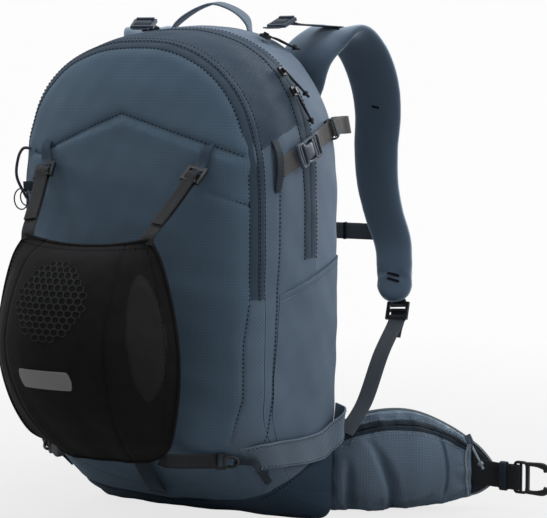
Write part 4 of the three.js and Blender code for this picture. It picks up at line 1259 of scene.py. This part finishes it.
def shoulder_straps():
    """Moulded foam strap with rounded edges and a rounded tip."""
    path = curve(STRAP_PATH, 2.5)
    share = np.linspace(0, 1, len(path))
    width = mix(62, 42, smooth(share)) + 6 * np.sin(math.pi * share)
    tip = np.sqrt(np.clip(1 - ((share - 0.955) / 0.045).clip(0) ** 2, 0.02, 1))
    thick = 15.5 * (1 - 0.25 * smooth((0.08 - share) / 0.08)) * np.sqrt(tip)
    build = ribbon(Build(), path, STRAP_ACROSS, width * tip, thick, ring=rounded_ring(44, 2.7))
    points = build.chunks[0][0]
    points += unit(points - points.mean(0)) * (0.5 * ripple(points, 41, 50, 110))[:, None]
    straps = make_pair(build, "shoulder_strap_foam", [FOAM], "bag", "foam", ["shoulder_strap_{}"])
    along, side, up = strap_frame(path, STRAP_ACROSS)
    slits = Build()
    # share down the strap, length and lean of each slit
    for at, span, lean in ((0.215, 17, 0.0), (0.47, 9, 0.25), (0.935, 15, 0.35), (0.95, 15, 0.35)):
        i = int(at * (len(path) - 1))
        for face in (-1, 1):
            middle = path[i] + up[i] * face * thick[i] * 0.5
            direction = side[i] + along[i] * lean
            bar(slits, middle - direction * span / 2, middle + direction * span / 2, along[i], 3.0, 1.4)
    tacks = make_pair(slits, "strap_bartacks", [THREAD], "bag", "cordage")
    flip = np.array([-1, 1, 1])
    for strap, tack, turn in zip(straps, tacks, (1, flip)):
        fill(strap, [tack], path[[0, -1]] * turn, 30, 1.0)


def lifters():
    """Load lifters: webbing stub, through the ladder-lock, on to the crown of the strap."""
    build = Build()
    seat = Seat((93, 24, 577), (0.28, 1, 0.45), (0, 0, 1))
    stub = [(86, 2, 573), (89, 10, 572.5), seat(-7, 0, 0.5), seat(-3, 0, 4.4), seat(2, 0, 5.2)]
    webbing(build, stub, seat.y, 19, 1.5, 1.2)
    line = [seat(4, 0, 4.2), seat(8, 0, 0.6), (99, 44, 577.5), (109, 66, 576.5), (118, 85, 575.5),
            (127, 99, 574.5), (131, 105, 573)]
    webbing(build, line, (1, -0.3, 0), 19, 1.6)
    make_pair(build, "lifter_webbing", [WEBBING], "bag", "webbing", ["lifter_strap_{}"])


def lower_straps():
    """Webbing from the foot of each strap through its ladder-lock to the side of the base."""
    seat = Seat((186, 145, 236.5), (0.06, -0.45, -0.9), (0, 1, -0.5))
    build = Build()
    line = [seat(6, 0, 3.4), seat(9, 0, 2), seat(16, 0, 1.0), (184, 104, 188), (178, 72, 136), (171, 48, 110),
            (168, 40, 102)]
    webbing(build, line, (1, 0.1, 0), WIDE_WEBBING, 1.6, 2.0)
    loop = [(180, 143, 254), seat(-12, 0, 1.4), seat(-8, 0, 1.2), seat(-5, 0, 3)]
    webbing(build, loop, (1, 0.1, 0), 19, 1.5, 1.0)
    tail = [seat(-4, 0, 5.6), seat(3, 0, 7.2), seat(11, 0, 5), seat(22, 1, 2.9), seat(33, 2, 3.4)]
    webbing(build, tail, (1, 0.1, 0), WIDE_WEBBING, 1.5, 1.4)
    make_pair(build, "lower_webbing", [WEBBING], "bag", "webbing", ["lower_strap_{}"])


STERNUM_Z = 326.0
STERNUM_Y = 187.0


def sternum():
    """Chest strap, bowed out past the shoulder straps, with its sliders on them."""
    z = STERNUM_Z
    for side, sign, inner, outer in (("right", 1, 30, 151), ("left", -1, 20, 151)):
        x = np.linspace(inner, outer, 60)
        y = STERNUM_Y + 1.4 * smooth((x - 65) / 25)
        path = np.stack([sign * x, y, np.full(60, z)], -1)
        build = ribbon(Build(), path, (0, 0, 1), WIDE_WEBBING, 1.6)
        doubled = path[18:44] + np.array([0, 1.7, 0])
        ribbon(build, doubled, (0, 0, 1), WIDE_WEBBING, 1.5)
        for at in (62, 96, 138):
            tack_y = np.interp(at, x, y)
            tack = np.array([[sign * at, tack_y, z - 10.6], [sign * at, tack_y, z + 10.6]])
            for offset in (-1.2, 3.0):
                bar(build, tack[0] + [0, offset, 0], tack[1] + [0, offset, 0], (1, 0, 0), 3.4, 1.2, 1)
        slide = Seat((sign * 152, y[-1] - 1.5, z), (0, 0, 1), (0, 1, 0))
        for dx in (-12, 12):
            bar(build, slide(dx, -9, 0), slide(dx, 9, 0), slide.x, 4, 3.2, 2)
        for dy in (-9, 9):
            bar(build, slide(-13, dy, 0), slide(13, dy, 0), slide.y, 3.4, 3.2, 2)
        build.make(f"sternum_webbing_{side}", [WEBBING, THREAD, BLACK_PLASTIC], f"sternum_{side}", "webbing",
                   [f"sternum_strap_{side}"])


# ---------------------------------------------------------------- back padding
PAD_LOW, PAD_HIGH, PAD_HALF = 12, 520, 128
PAD_CHANNELS = (150, 290, 410)  # heights of the sewn lines across the cushions


def back_pads():
    """Two spacer-mesh cushions over a foam board, with an air channel between them."""
    z = np.linspace(PAD_LOW, PAD_HIGH, 190)[:, None]
    u = np.linspace(-1, 1, 110)[None]
    top = np.clip((z - 380) / 140, 0, 1)
    bottom = np.clip((42 - z) / 30, 0, 1)
    half = PAD_HALF - 88 * top**2.4 - 16 * bottom**2
    x = u * half
    edge = smooth((1 - np.abs(u)) / 0.09) * smooth((z - PAD_LOW) / 9) * smooth((PAD_HIGH - z) / 9)
    channel = bump(x, 0, 15)
    cross_lines = sum(bump(z, at, 4) for at in PAD_CHANNELS)
    height = 4 + (17.5 - 9 * channel - 4.5 * cross_lines) * edge
    face = np.stack([x + 0 * z, BACK_Y + 0.5 + height + 0 * x, z + 0 * x], -1)
    under = np.stack([x + 0 * z, np.full_like(x + 0 * z, BACK_Y + 0.5), z + 0 * x], -1)
    build = sheet(Build(), face, under, face[..., [0, 2]])
    cushions = build.make("back_pad_cushions", [SPACER], "bag", "foam", ["back_pad"])
    rim = np.concatenate([face[0], face[:, -1], face[-1, ::-1], face[::-1, 0]])
    line = resample(rim[: -3] + np.array([0, 0.5, 0]), 2.0)
    binding = tube(Build(), line, 2.0, 8).make("back_pad_binding", [BINDING], "bag", "foam")
    fill(cushions, [binding], under[::4, ::4], 6, 1.4)


# ---------------------------------------------------------------- hip belt
WING_PIVOT = np.array([92.0, 54.5, 0.0])
LEFT_WING_SWING = math.radians(24)
HIP_BUCKLE_Z = 43
BELT = np.array([
    # share, x, y, low z, high z
    [0, 92, 54.5, 6, 92], [0.2, 134, 68, 4, 103], [0.4, 172, 96, 3.2, 119],
    [0.6, 212, 128, 3.4, 119], [0.8, 254, 154, 10, 98], [1, 300, 170, 24, 64],
])


def swung_in(points):
    """The left wing hangs further round towards the wearer than the right one."""
    pivot = WING_PIVOT * np.array([-1, 1, 1])
    c, s = math.cos(-LEFT_WING_SWING), math.sin(-LEFT_WING_SWING)
    turn = np.array([[c, -s, 0], [s, c, 0], [0, 0, 1]])
    return (points - pivot) @ turn.T + pivot


def wing_pair(build, name, materials, body, slot, nodes=()):
    swung = build.mirrored().moved(swung_in, False)
    return make_pair(build, name, materials, body, slot, nodes, swung)


def belt_point(t, h, off):
    t, h, off = np.broadcast_arrays(np.asarray(t, float), np.asarray(h, float), np.asarray(off, float))
    row = knot_curve(BELT, np.clip(t, 0, 1))
    ahead = knot_curve(BELT, np.clip(t + 0.02, 0, 1))
    behind = knot_curve(BELT, np.clip(t - 0.02, 0, 1))
    run = unit(ahead[..., :2] - behind[..., :2])
    x = row[..., 0] + run[..., 1] * off
    y = row[..., 1] - run[..., 0] * off
    closing = np.sqrt(1 - 0.6 * np.clip((t - 0.92) / 0.08, 0, 1) ** 2)
    middle, half = (row[..., 2] + row[..., 3]) / 2, (row[..., 3] - row[..., 2]) / 2 * closing
    return np.stack([x, y, middle + half * (2 * h - 1)], -1)


def hip_fins():
    """Padded mesh wing with a bound edge."""
    a = np.linspace(0, 1, 150)[:, None]
    b = np.linspace(0, 1, 60)[None]
    edge = np.clip(np.minimum(b, 1 - b) / 0.12, 0, 1)
    ends = np.clip((1 - a) / 0.05, 0, 1)
    half = 0.9 + (FIN_THICK / 2 + 0.4) * (1 - (1 - edge) ** 2) * np.sqrt(np.clip(ends, 0, 1))
    face, under = belt_point(a, b, half), belt_point(a, b, -half)
    run = np.broadcast_to(lengths(face[:, 30])[:, None], half.shape)
    build = sheet(Build(), face, under, np.stack([under[..., 2], run], -1))
    wing_pair(build, "hip_fin_pad", [FIN_MESH], "hip_wing_{}", "mesh", ["hip_fin_{}"])
    t = np.linspace(0.07, 1, 120)
    end = belt_point(1.0, np.linspace(0.95, 0.05, 12), 0)
    line = resample(np.r_[belt_point(t, 1.0, 0), end, belt_point(t[::-1], 0.0, 0)], 2.0)
    build = ribbon(Build(), line, unit(np.cross(np.gradient(line, axis=0), (0.4, -0.7, 0.2))), 2.6, 7.0)
    wing_pair(build, "hip_fin_binding", [CORD_GREY], "hip_wing_{}", "mesh")


POCKET_BULGE = 29


def pocket_share(a):
    return mix(0.19, 0.9, a)


def pocket_height(b):
    return mix(0.005, 0.995, b)


def pocket_bulge(a, b):
    high = np.sin(math.pi * mix(0.05, 0.95, a)) ** 0.55 * np.sin(math.pi * mix(0.04, 0.95, b)) ** 0.45
    return POCKET_BULGE * high


def pocket_creases(a, b):
    """Folds where the pocket's slack is pleated and pulled towards its ends."""
    deep = -11.0 * bump(a, 0.44 - 0.05 * b - 0.24 * b**2, 0.032) * smooth((0.84 - b) / 0.5)
    second = -7.0 * bump(a, 0.1 + 0.05 * (1 - b), 0.028) * smooth((0.7 - b) / 0.4)
    pleat = -3.6 * bump(a, 0.765 + 0.21 * b - 0.27 * b**2, 0.016)
    pleat = pleat * smooth((b - 0.02) / 0.2) * smooth((0.9 - b) / 0.2)
    puff = 3.0 * bump(a, 0.26, 0.09) * smooth((0.7 - b) / 0.5) + 2.0 * bump(a, 0.6, 0.1)
    return deep + second + pleat + puff


def hip_pockets():
    a = np.linspace(0, 1, 190)[:, None]
    b = np.linspace(0, 1, 110)[None]
    t = pocket_share(a)
    height = pocket_height(b)
    base = FIN_THICK / 2 + 0.8
    off = base + 1.2 + np.maximum(pocket_bulge(a, b) + pocket_creases(a, b), 0.3)
    off = off + 0.5 * ripple(belt_point(t, height, off), 61, 24, 60)
    face = belt_point(t, height, off)
    under = belt_point(t, height, base)
    run = np.broadcast_to(lengths(face[:, 50])[:, None], off.shape)
    rise = np.broadcast_to(lengths(face[95])[None], off.shape)
    build = sheet(Build(), face, under, np.stack([run, rise], -1))
    pockets = wing_pair(build, "hip_pocket_cloth", [HIP_RIPSTOP_PAINTED_LIGHT], "hip_wing_{}", "shell", ["hip_pocket_{}"])
    sewn = under[::4, ::4].reshape(-1, 3)
    swung = swung_in(sewn * np.array([-1, 1, 1]))
    for pocket, trims, held in zip(pockets, zip(*hip_pocket_trim()), (sewn, swung)):
        fill(pocket, trims, held, 5, 2.5)


def hip_pocket_trim():
    """Zip along the top of the pocket between two stitched lines, and its curved end binding."""
    share = np.linspace(0.03, 0.97, 150)

    def on_pocket(a, b, lift):
        off = FIN_THICK / 2 + 2.0 + np.maximum(pocket_bulge(a, b) + pocket_creases(a, b), 0.3) + lift
        return belt_point(pocket_share(a), pocket_height(b), off)

    def normals(a, b):
        e = 0.01
        da = on_pocket(np.minimum(a + e, 1), b, 0) - on_pocket(a - e, b, 0)
        db = on_pocket(a, np.minimum(b + e, 1), 0) - on_pocket(a, b - e, 0)
        return unit(np.cross(da, db))

    rows = Build()
    for height in (0.80, 0.955):
        b_line = np.full_like(share, height)
        stitches(rows, on_pocket(share, b_line, 0.4), normals(share, b_line), width=0.9)
    pieces = [wing_pair(rows, "hip_pocket_stitches", [THREAD_LIGHT], "hip_wing_{}", "cordage")]
    strip = np.linspace(0.83, 0.935, 9)
    place_a = share[:, None] + 0 * strip
    place_b = strip[None] + 0 * share[:, None]
    rise = 1.2 * smooth(np.minimum(strip - 0.83, 0.935 - strip) / 0.025) - 1.2 * bump(strip, 0.8825, 0.012)
    n = normals(place_a, place_b)
    face = on_pocket(place_a, place_b, 0) + n * (0.4 + rise)[None, :, None]
    under = on_pocket(place_a, place_b, 0) + n * 0.05
    run = np.broadcast_to(lengths(face[:, 4])[:, None], place_a.shape)
    cover = sheet(Build(), face, under, np.stack([run, place_b * 100], -1))
    pieces.append(wing_pair(cover, "hip_zip_cover", [BINDING], "hip_wing_{}", "shell"))
    teeth = Build()
    middle = np.full_like(share, 0.8825)
    stitches(teeth, on_pocket(share, middle, 0.6), normals(share, middle), pitch=1.7, length=1.3, width=3,
             height=0.8)
    pieces.append(wing_pair(teeth, "hip_zip_coil", [THREAD], "hip_wing_{}", "cordage"))
    curve_b = np.linspace(0.04, 0.9, 60)
    curve_a = 0.985 - 0.02 * np.sin(math.pi * curve_b)
    line = resample(on_pocket(curve_a, curve_b, 1.2), 1.5)
    edge = tube(Build(), line, 1.3, 8)
    pieces.append(wing_pair(edge, "hip_pocket_binding", [CORD_GREY], "hip_wing_{}", "cordage"))
    return pieces


def hip_fittings():
    build = Build()
    seat = Seat((287, 134, 86), (7, 1, -14), (0.35, -0.94, 0))
    bar(build, seat(-9, 0, -1), seat(1, 0, 1), seat.y, 8, 5, 1)
    pull_cord(build, seat(-3, 0, 2), seat(28, 0, 1), (0, 0, -1), 7)
    wing_pair(build, "hip_pull_cord", [CORD_GREY, SLATE_PLASTIC], "hip_pull_{}", "cordage",
              ["hip_zip_pull_{}"])
    start = belt_point(0.9, 0.5, FIN_THICK / 2 + 2.0)
    end = belt_point(1, 0.5, FIN_THICK / 2 + 2)
    folded = [(316, 166), (326, 165.5), (337, 164.6), (338.6, 161), (334, 159.8), (322, 161.6), (312, 162.5)]
    line = [start, end, *((x, y, HIP_BUCKLE_Z) for x, y in folded)]
    build = webbing(Build(), line, (0, 0, 1), HIP_WEBBING, 1.7)
    ring = rounded_ring(40, 5)
    keeper = Seat((318, 163.8, HIP_BUCKLE_Z), (1, -0.08, 0), (0.08, 1, 0))
    loop = np.array([keeper(0, 16.6 * y, 4.2 * z) for y, z in zip(*ring)])
    ribbon(build, np.r_[loop, loop[:1]], keeper.x, 9, 1.6, 1)
    wing_pair(build, "hip_webbing_band", [WEBBING_BLACK, BINDING], "hip_wing_{}", "webbing",
              ["hip_webbing_{}"])


# ---------------------------------------------------------------- helmet holder
HOLDER = np.array([
    # share down the cover, height, half width, middle y, side y
    [0, 347, 78, -262, -253], [0.15, 322, 93, -296, -256], [0.35, 275, 106, -322, -258],
    [0.55, 225, 111, -328, -260], [0.75, 170, 103, -302, -252], [0.9, 128, 88, -262, -235],
    [1, 101, 70, -222, -212],
])


# pairs of a share down the cover and a share across it
VENT_MIDDLE, VENT_REACH = (0.31, -0.07), (0.17, 0.40)
VENT_STEP, VENT_CELL = (0.0262, 0.085), (0.0160, 0.044)
BAND_MIDDLE, BAND_HALF = (0.64, -0.12), (0.038, 0.31)


def cover_place(t, side, off=0.0):
    """A point on the holder's cover: share down it, and -1 to 1 across it."""
    t, side, off = np.broadcast_arrays(np.asarray(t, float), np.asarray(side, float), np.asarray(off, float))
    row = knot_curve(HOLDER, t)
    height, half, middle, edge = (row[..., k] for k in range(4))
    half = half + 6.5 * bump(t, 0.68, 0.3) * np.clip(side, 0, 1)
    y = mix(middle, edge, np.abs(side) ** 2.6)
    dip = 9 * (1 - side**2) * np.clip(1 - t / 0.2, 0, 1) ** 2
    corner = 13 * np.abs(side) ** 7 * np.clip((t - 0.86) / 0.14, 0, 1) ** 2
    return np.stack([side * half, y - off, height - dip + corner], -1)


def side_panel_reach(t, side):
    """Below 1 inside the oval panels near the cover's two edges."""
    return np.hypot((np.abs(side) - 0.81) / 0.125, (t - 0.455) / 0.26)


def cover_folds(t, side):
    """Tension folds of the stretch cloth, strongest towards the foot."""
    seam = -2.4 * bump(side, 0.5 + 0.16 * smooth(1 - t / 0.5), 0.025) - 2.0 * bump(side, -0.62, 0.025)
    foot = smooth((t - 0.45) / 0.5)
    pulled = 2.6 * foot * np.sin(9 * side + 3 * t) * bump(side, 0.25, 0.35)
    pulled += 2.0 * foot * np.sin(13 * side - 4 * t) * bump(side, -0.6, 0.3)
    gather = 0.9 * np.sin(150 * side) * np.clip(1 - t / 0.07, 0, 1) * bump(side, -0.25, 0.35)
    panel = 1.4 * smooth((1.0 - side_panel_reach(t, side)) * 5)
    return seam + pulled + gather + panel


def on_cover(t, side, lift=0.0):
    return cover_place(t, side, cover_folds(t, side) + lift)


def cover_normal(t, side):
    e = 0.004
    dt = on_cover(np.add(t, e), side) - on_cover(np.subtract(t, e), side)
    ds = on_cover(t, np.add(side, e)) - on_cover(t, np.subtract(side, e))
    n = unit(np.cross(dt, ds))
    return n * np.where(n[..., 1] > 0, -1, 1)[..., None]


def holder_cover():
    t = np.linspace(0, 1, 210)[:, None]
    side = np.linspace(-1, 1, 180)[None]
    t_grid, side_grid = np.broadcast_arrays(t, side)
    face = on_cover(t, side)
    inner = face + np.array([0, 1.3, 0])
    run = np.stack([side_grid * 105, -lengths(face[:, 90])[:, None] + 0 * side_grid], -1)
    region = (side_panel_reach(t_grid, side_grid) < 1)[:-1, :-1].astype(int)
    build = sheet(Build(), face, inner, run, region)
    build.make("holder_cloth", [KNIT, HOLDER_SIDE], "bag", "holder", ["holder_cover"])
    edges = Build()
    share = np.linspace(0, 1, 160)
    across = np.linspace(-1, 1, 120)
    for t_row, side_row in ((share, 1.0), (share, -1.0), (0.0, across), (1.0, across)):
        tube(edges, resample(on_cover(t_row, side_row) + np.array([0, 0.65, 0]), 1.8), 2.3, 10)
    edges.make("holder_binding", [KNIT], "bag", "holder")
    rows = Build()
    for t_row, side_row in ((share, np.full_like(share, 0.93)), (share, np.full_like(share, -0.93)),
                            (np.full_like(across, 0.045), across)):
        stitches(rows, on_cover(t_row, side_row, 0.3), cover_normal(t_row, side_row))
    rows.make("holder_stitches", [THREAD], "bag", "cordage")


def holder_vents():
    """Honeycomb of raised ribs over an oval of open mesh."""
    vents = Build()
    angle = np.linspace(0, 2 * math.pi, 7) + math.pi / 6
    for row in range(-6, 7):
        for k in range(-5, 6):
            down = row * VENT_STEP[0]
            across = (k + 0.5 * (row % 2)) * VENT_STEP[1]
            if math.hypot(down / VENT_REACH[0], across / VENT_REACH[1]) > 1:
                continue
            rim_t = VENT_MIDDLE[0] + down + VENT_CELL[0] * np.sin(angle)
            rim_side = VENT_MIDDLE[1] + across + VENT_CELL[1] * np.cos(angle)
            tube(vents, on_cover(rim_t, rim_side, 0.35), 0.6, 6)
    vents.make("holder_vent_ribs", [HOLDER_VENT], "bag", "holder")


def holder_reflector():
    """Plain reflective band with rounded ends."""
    across = np.linspace(-1, 1, 60)[:, None]
    down = np.linspace(-1, 1, 16)[None]
    rounding = np.sqrt(1 - np.clip((np.abs(across) - 0.87) / 0.13, 0, 0.985) ** 2)
    patch_t = BAND_MIDDLE[0] + BAND_HALF[0] * down * rounding
    patch_side = BAND_MIDDLE[1] + BAND_HALF[1] * across + 0 * down
    face = on_cover(patch_t, patch_side, 0.9)
    under = on_cover(patch_t, patch_side, 0.1)
    flat = np.stack([patch_side * 105, patch_t * 260], -1)
    sheet(Build(), face, under, flat).make("holder_reflector", [REFLECTIVE], "bag", "holder")


def holder_straps():
    """Webbing from the cover's upper corners through the locks, and the tabs that hold the locks."""
    lock = np.array([95.5, -188, 411.0])
    corner = np.array([76, -253, 348.0])
    seat = Seat(lock, corner - lock, (0, -1, 0.4))
    build = Build()
    line = [seat(4, 0, 3.5), seat(8, 0, 1.6), seat(14, 0, 0.8), mix(lock, corner, 0.6), corner + [0.5, 2, 4],
            corner + [-1, -2, -6]]
    webbing(build, line, (1, 0, 0), HOLDER_WEBBING, 1.6, 1.8)
    tail = [seat(-3, 0, 5.4), seat(3, 0, 6.8), seat(14, 0, 4.6), seat(40, 0, 3.4), seat(74, 0, 3.6)]
    webbing(build, tail, (1, 0, 0), 15, 1.4, 1.8)
    make_pair(build, "holder_webbing_upper", [WEBBING_BLACK], "bag", "webbing", ["holder_strap_upper_{}"])
    build = Build()
    # folded tab from the chevron seam to the lock, and the bar that it turns round
    tab = curve([(103.6, -167, 446), (103.2, -174.5, 439), seat(-16, 0, 3.4), seat(-9, 0, 2.2),
                 seat(-5, 0, 3)], 1.5)
    ribbon(build, tab, (1, 0, 0), np.linspace(11, 14, len(tab)), 2.2)
    bar(build, seat(-11, -11, 1.5), seat(-11, 11, 1.5), seat.x, 3.4, 3.4, 1)
    make_pair(build, "holder_anchor", [BAND, BLACK_PLASTIC], "bag", "webbing")


def holder_hooks():
    """Webbing from the cover's foot to an open hook, which holds a strap sewn on the bag."""
    build = Build()
    hook = bag_point(0.1484, 0.7225, 7)
    foot = np.array([66, -209, 102.0])
    line = [foot + [-4, 2, 3], foot + [6, 5, 0], mix(foot, hook, 0.4), mix(foot, hook, 0.62)]
    webbing(build, line, (0, 0.2, 1), HOLDER_WEBBING, 1.6, 1.8)
    make_pair(build, "holder_webbing_lower", [WEBBING_BLACK], "bag", "webbing", ["holder_strap_lower_{}"])
    build = Build()
    seat = Seat(mix(foot, hook, 0.68), hook - foot, (0, -1, 0))
    for y in (-8.5, 8.5):
        bar(build, seat(-7, y, 1), seat(9, y * 0.6, 1), seat.y, 3, 3)
    for x in (-6, 1):
        bar(build, seat(x, -9, 1), seat(x, 9, 1), seat.x, 3.2, 3)
    claw = curve([seat(7, 6, 1), seat(14, 4, 2), seat(16, 0, 4), seat(13, -4, 5), seat(8, -6, 3)], 1.0)
    tube(build, claw, 1.7, 8)
    make_pair(build, "holder_hook", [BLACK_PLASTIC], "bag", "plastic")
    eye = [seat(12, 0, 2), hook + [2, -1, -1], bag_point(0.14, 0.717, 2.4), bag_point(0.13, 0.712, 1.0)]
    eye_strap = webbing(Build(), eye, (0.6, 0.1, 1), 8, 1.5)
    make_pair(eye_strap, "holder_eye_strap", [BINDING], "bag", "webbing")


# ---------------------------------------------------------------- moulded fittings from the frame
FINE_BEVEL, BROAD_BEVEL = 0.8, 1.2


def bevelled(node, material, width):
    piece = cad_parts[node]
    piece.data.materials.clear()
    piece.data.materials.append(material)
    edge = piece.modifiers.new("edge", "BEVEL")
    edge.width = width * MM
    edge.segments = 3
    edge.limit_method = "ANGLE"
    edge.angle_limit = math.radians(35)


def release_ring(build, seat, centre, half_wide, lift, half_long=6.0):
    """Webbing end of a release buckle: a rounded frame and the bar that the webbing turns round."""
    x, y = rounded_ring(48, 6)
    ring = seat(centre + half_long * x, half_wide * y, lift + 0 * x)
    ribbon(build, np.r_[ring, ring[:2]], seat.z, 5.0, 3.4, ring=rounded_ring(12, 3))
    bar(build, seat(centre, -half_wide, lift), seat(centre, half_wide, lift), seat.x, 3, 3)


def release_arms(build, seat, half_wide, lift, reach, stout=1.0):
    """Springy outer arms of the pronged half, with hooked tips, and the bridge between them."""
    for sign in (-1, 1):
        line = [(4, 1.0), (-0.2 * reach, 1.02), (-0.6 * reach, 1.0), (-0.9 * reach, 0.9), (-reach, 0.74),
                (-0.84 * reach, 0.66)]
        path = curve([seat(x, sign * half_wide * y, lift) for x, y in line], 1.0)
        share = np.linspace(0, 1, len(path))
        wide = stout * mix(2.6, 4.0, bump(share, 0.7, 0.25))
        ribbon(build, path, seat.z, 4.6, wide, ring=rounded_ring(12, 3))
    bar(build, seat(2.2, -half_wide, lift), seat(2.2, half_wide, lift), seat.x, 4.0, 4.6)


def compression_buckles():
    middle_v = 0.33
    along = bag_point(strap_s(0.2), 0.2) - bag_point(strap_s(0.43), 0.43)
    off = bag_normal(strap_s(middle_v), middle_v)
    seat = Seat(bag_point(strap_s(middle_v), middle_v, 5.0), along, off)
    lift, half_wide = 4.4, 12.6
    build = Build()
    release_ring(build, seat, -24, half_wide, lift)
    # stations along the receptacle's body, from its webbing end to its mouth
    x = np.array([-19.5, -19, -17, -14, -7, -3, -1.6, -1.2])
    half = np.array([10, 11.6, 10.8, 8.2, 8.2, 8.4, 8.2, 7.4])
    thick = np.array([3, 5.4, 6.6, 7.4, 7.4, 6.8, 5.8, 4])
    ribbon(build, seat(x, 0 * x, lift + 0 * x), seat.y, 2 * half, thick, ring=rounded_ring(32, 4))
    make_pair(build, "compression_receptacle", [SLATE_PLASTIC], "bag", "plastic",
              ["compression_buckle_female_{}"])
    build = Build()
    release_ring(build, seat, 8.6, half_wide, lift)
    release_arms(build, seat, 12.0, lift, 17)
    make_pair(build, "compression_prongs", [SLATE_PLASTIC], "compression_clip_{}", "plastic",
              ["compression_buckle_male_{}"])


def hip_prongs():
    seat = Seat((350, 159, HIP_BUCKLE_Z), (-1, 0.06, 0), (0.06, 1, 0))
    build = Build()
    release_ring(build, seat, 11.0, 18.0, 5.0, 8.0)
    release_arms(build, seat, 16.6, 5.0, 22, 1.9)
    build.make("hip_prongs", [BLACK_PLASTIC], "hip_clip", "plastic", ["hip_buckle_male"])


def fittings():
    compression_buckles()
    hip_prongs()
    for side in ("right", "left"):
        bevelled(f"lifter_buckle_{side}", SLATE_PLASTIC, FINE_BEVEL)
        bevelled(f"lower_buckle_{side}", BLACK_PLASTIC, FINE_BEVEL)
        bevelled(f"holder_buckle_{side}", BLACK_PLASTIC, FINE_BEVEL)
    for node in ("sternum_buckle_female", "sternum_buckle_male", "hip_buckle_female"):
        bevelled(node, BLACK_PLASTIC, BROAD_BEVEL)
    for node in ("main_zip_slider_upper", "main_zip_slider_lower", "top_zip_slider", "front_zip_slider"):
        bevelled(node, BLACK_PLASTIC, FINE_BEVEL)


# ---------------------------------------------------------------- light, floor and camera
WORLD_LOW, WORLD_HIGH = 0.03, 0.42  # brightness of the surroundings below and above
PAPER_WHITE = 0.98
SUBJECT_MIDDLE = (0.0, -0.05, 0.3)
LAMPS = {  # place, size in metres, power in watts
    "key": ((2.7, 0.2, 2.0), 2.4, 32),
    "top": ((-0.2, 0.2, 3.0), 2.0, 30),
    "rim": ((0.9, 2.8, 1.5), 1.6, 48),
    "left": ((-2.8, -0.6, 1.5), 1.6, 20),
    "front": ((-1.4, -2.6, 2.4), 1.8, 7),
}
CAMERA_PLACE = (1.2, -2.1525, 0.530)
CAMERA_TARGET = (0.095, -0.016, 0.3035)
CAMERA_LENS, CAMERA_SENSOR = 137.35, 36
FLOOR_RADIUS = 9


def aim(thing, target):
    direction = Vector(target) - thing.location
    thing.rotation_euler = direction.to_track_quat("-Z", "Y").to_euler()


def softbox(name, place, size, power):
    data = bpy.data.lights.new(name, "AREA")
    data.shape = "DISK"
    data.size = size
    data.energy = power
    lamp = bpy.data.objects.new(name, data)
    bpy.context.scene.collection.objects.link(lamp)
    lamp.location = place
    aim(lamp, SUBJECT_MIDDLE)


def surroundings():
    """Dim below the horizon and soft above it; plain white where the camera looks past the floor."""
    world = bpy.data.worlds.new("studio")
    world.use_nodes = True
    tree = world.node_tree
    sky = tree.nodes["Background"]
    sky.inputs[0].default_value = (1, 1, 1, 1)
    direction = tree.nodes.new("ShaderNodeTexCoord").outputs["Generated"]
    height = tree.nodes.new("ShaderNodeSeparateXYZ")
    tree.links.new(direction, height.inputs[0])
    dome = tree.nodes.new("ShaderNodeMapRange")
    tree.links.new(height.outputs[2], dome.inputs[0])
    for socket, value in zip(dome.inputs[1:5], (-0.25, 0.5, WORLD_LOW, WORLD_HIGH)):
        socket.default_value = value
    seen = tree.nodes.new("ShaderNodeLightPath").outputs["Is Camera Ray"]
    choose = tree.nodes.new("ShaderNodeMix")
    tree.links.new(seen, choose.inputs[0])
    tree.links.new(dome.outputs[0], choose.inputs[2])
    choose.inputs[3].default_value = PAPER_WHITE
    tree.links.new(choose.outputs[0], sky.inputs[1])
    bpy.context.scene.world = world


def floor():
    """Pale paper that goes white towards the horizon."""
    g = Graph("floor_paper")
    lit = g.node("BsdfPrincipled", Base_Color=(0.38, 0.38, 0.38, 1), Roughness=0.9).outputs[0]
    glow = g.node("Emission", Color=(1, 1, 1, 1), Strength=PAPER_WHITE).outputs[0]
    seen = g.node("LightPath").outputs["Is Camera Ray"]
    where = g.node("TexCoord").outputs["Object"]
    reach = g.node("VectorMath", {"operation": "LENGTH"}, Vector=where).outputs["Value"]
    share = g.node("MapRange", Value=reach, From_Min=0.25, From_Max=1.6, To_Min=0.78, To_Max=1.0).outputs[0]
    blend = g.node("MixShader")
    g.feed(blend.inputs[0], g.math("MULTIPLY", seen, share))
    g.feed(blend.inputs[1], lit)
    g.feed(blend.inputs[2], glow)
    g.node("OutputMaterial", Surface=blend.outputs[0])
    place = (0, 0, cad_low.z - MM)
    bpy.ops.mesh.primitive_circle_add(vertices=96, radius=FLOOR_RADIUS, fill_type="NGON", location=place)
    paper = bpy.context.object
    paper.name = "floor"
    paper.data.materials.append(g.material)


def camera():
    lens = bpy.data.cameras.new("camera")
    lens.sensor_width = CAMERA_SENSOR
    lens.lens = CAMERA_LENS
    seer = bpy.data.objects.new("camera", lens)
    scene = bpy.context.scene
    scene.collection.objects.link(seer)
    seer.location = CAMERA_PLACE
    aim(seer, CAMERA_TARGET)
    scene.camera = seer
    scene.view_settings.view_transform = "Standard"


main_skin()
front_skin()
base_skin()
back_panel()
seam_stitches()
base_piping()
zips()
side_pockets()
ski_loops()
daisy_loops()
compression_straps()
zip_pulls()
loops_and_cords()
axe_fittings()
shoulder_straps()
lifters()
lower_straps()
sternum()
back_pads()
hip_fins()
hip_pockets()
hip_fittings()
holder_cover()
holder_vents()
holder_reflector()
holder_straps()
holder_hooks()
fittings()
for lamp_name, (lamp_place, lamp_size, lamp_power) in LAMPS.items():
    softbox(lamp_name, lamp_place, lamp_size, lamp_power)
surroundings()
floor()
camera()
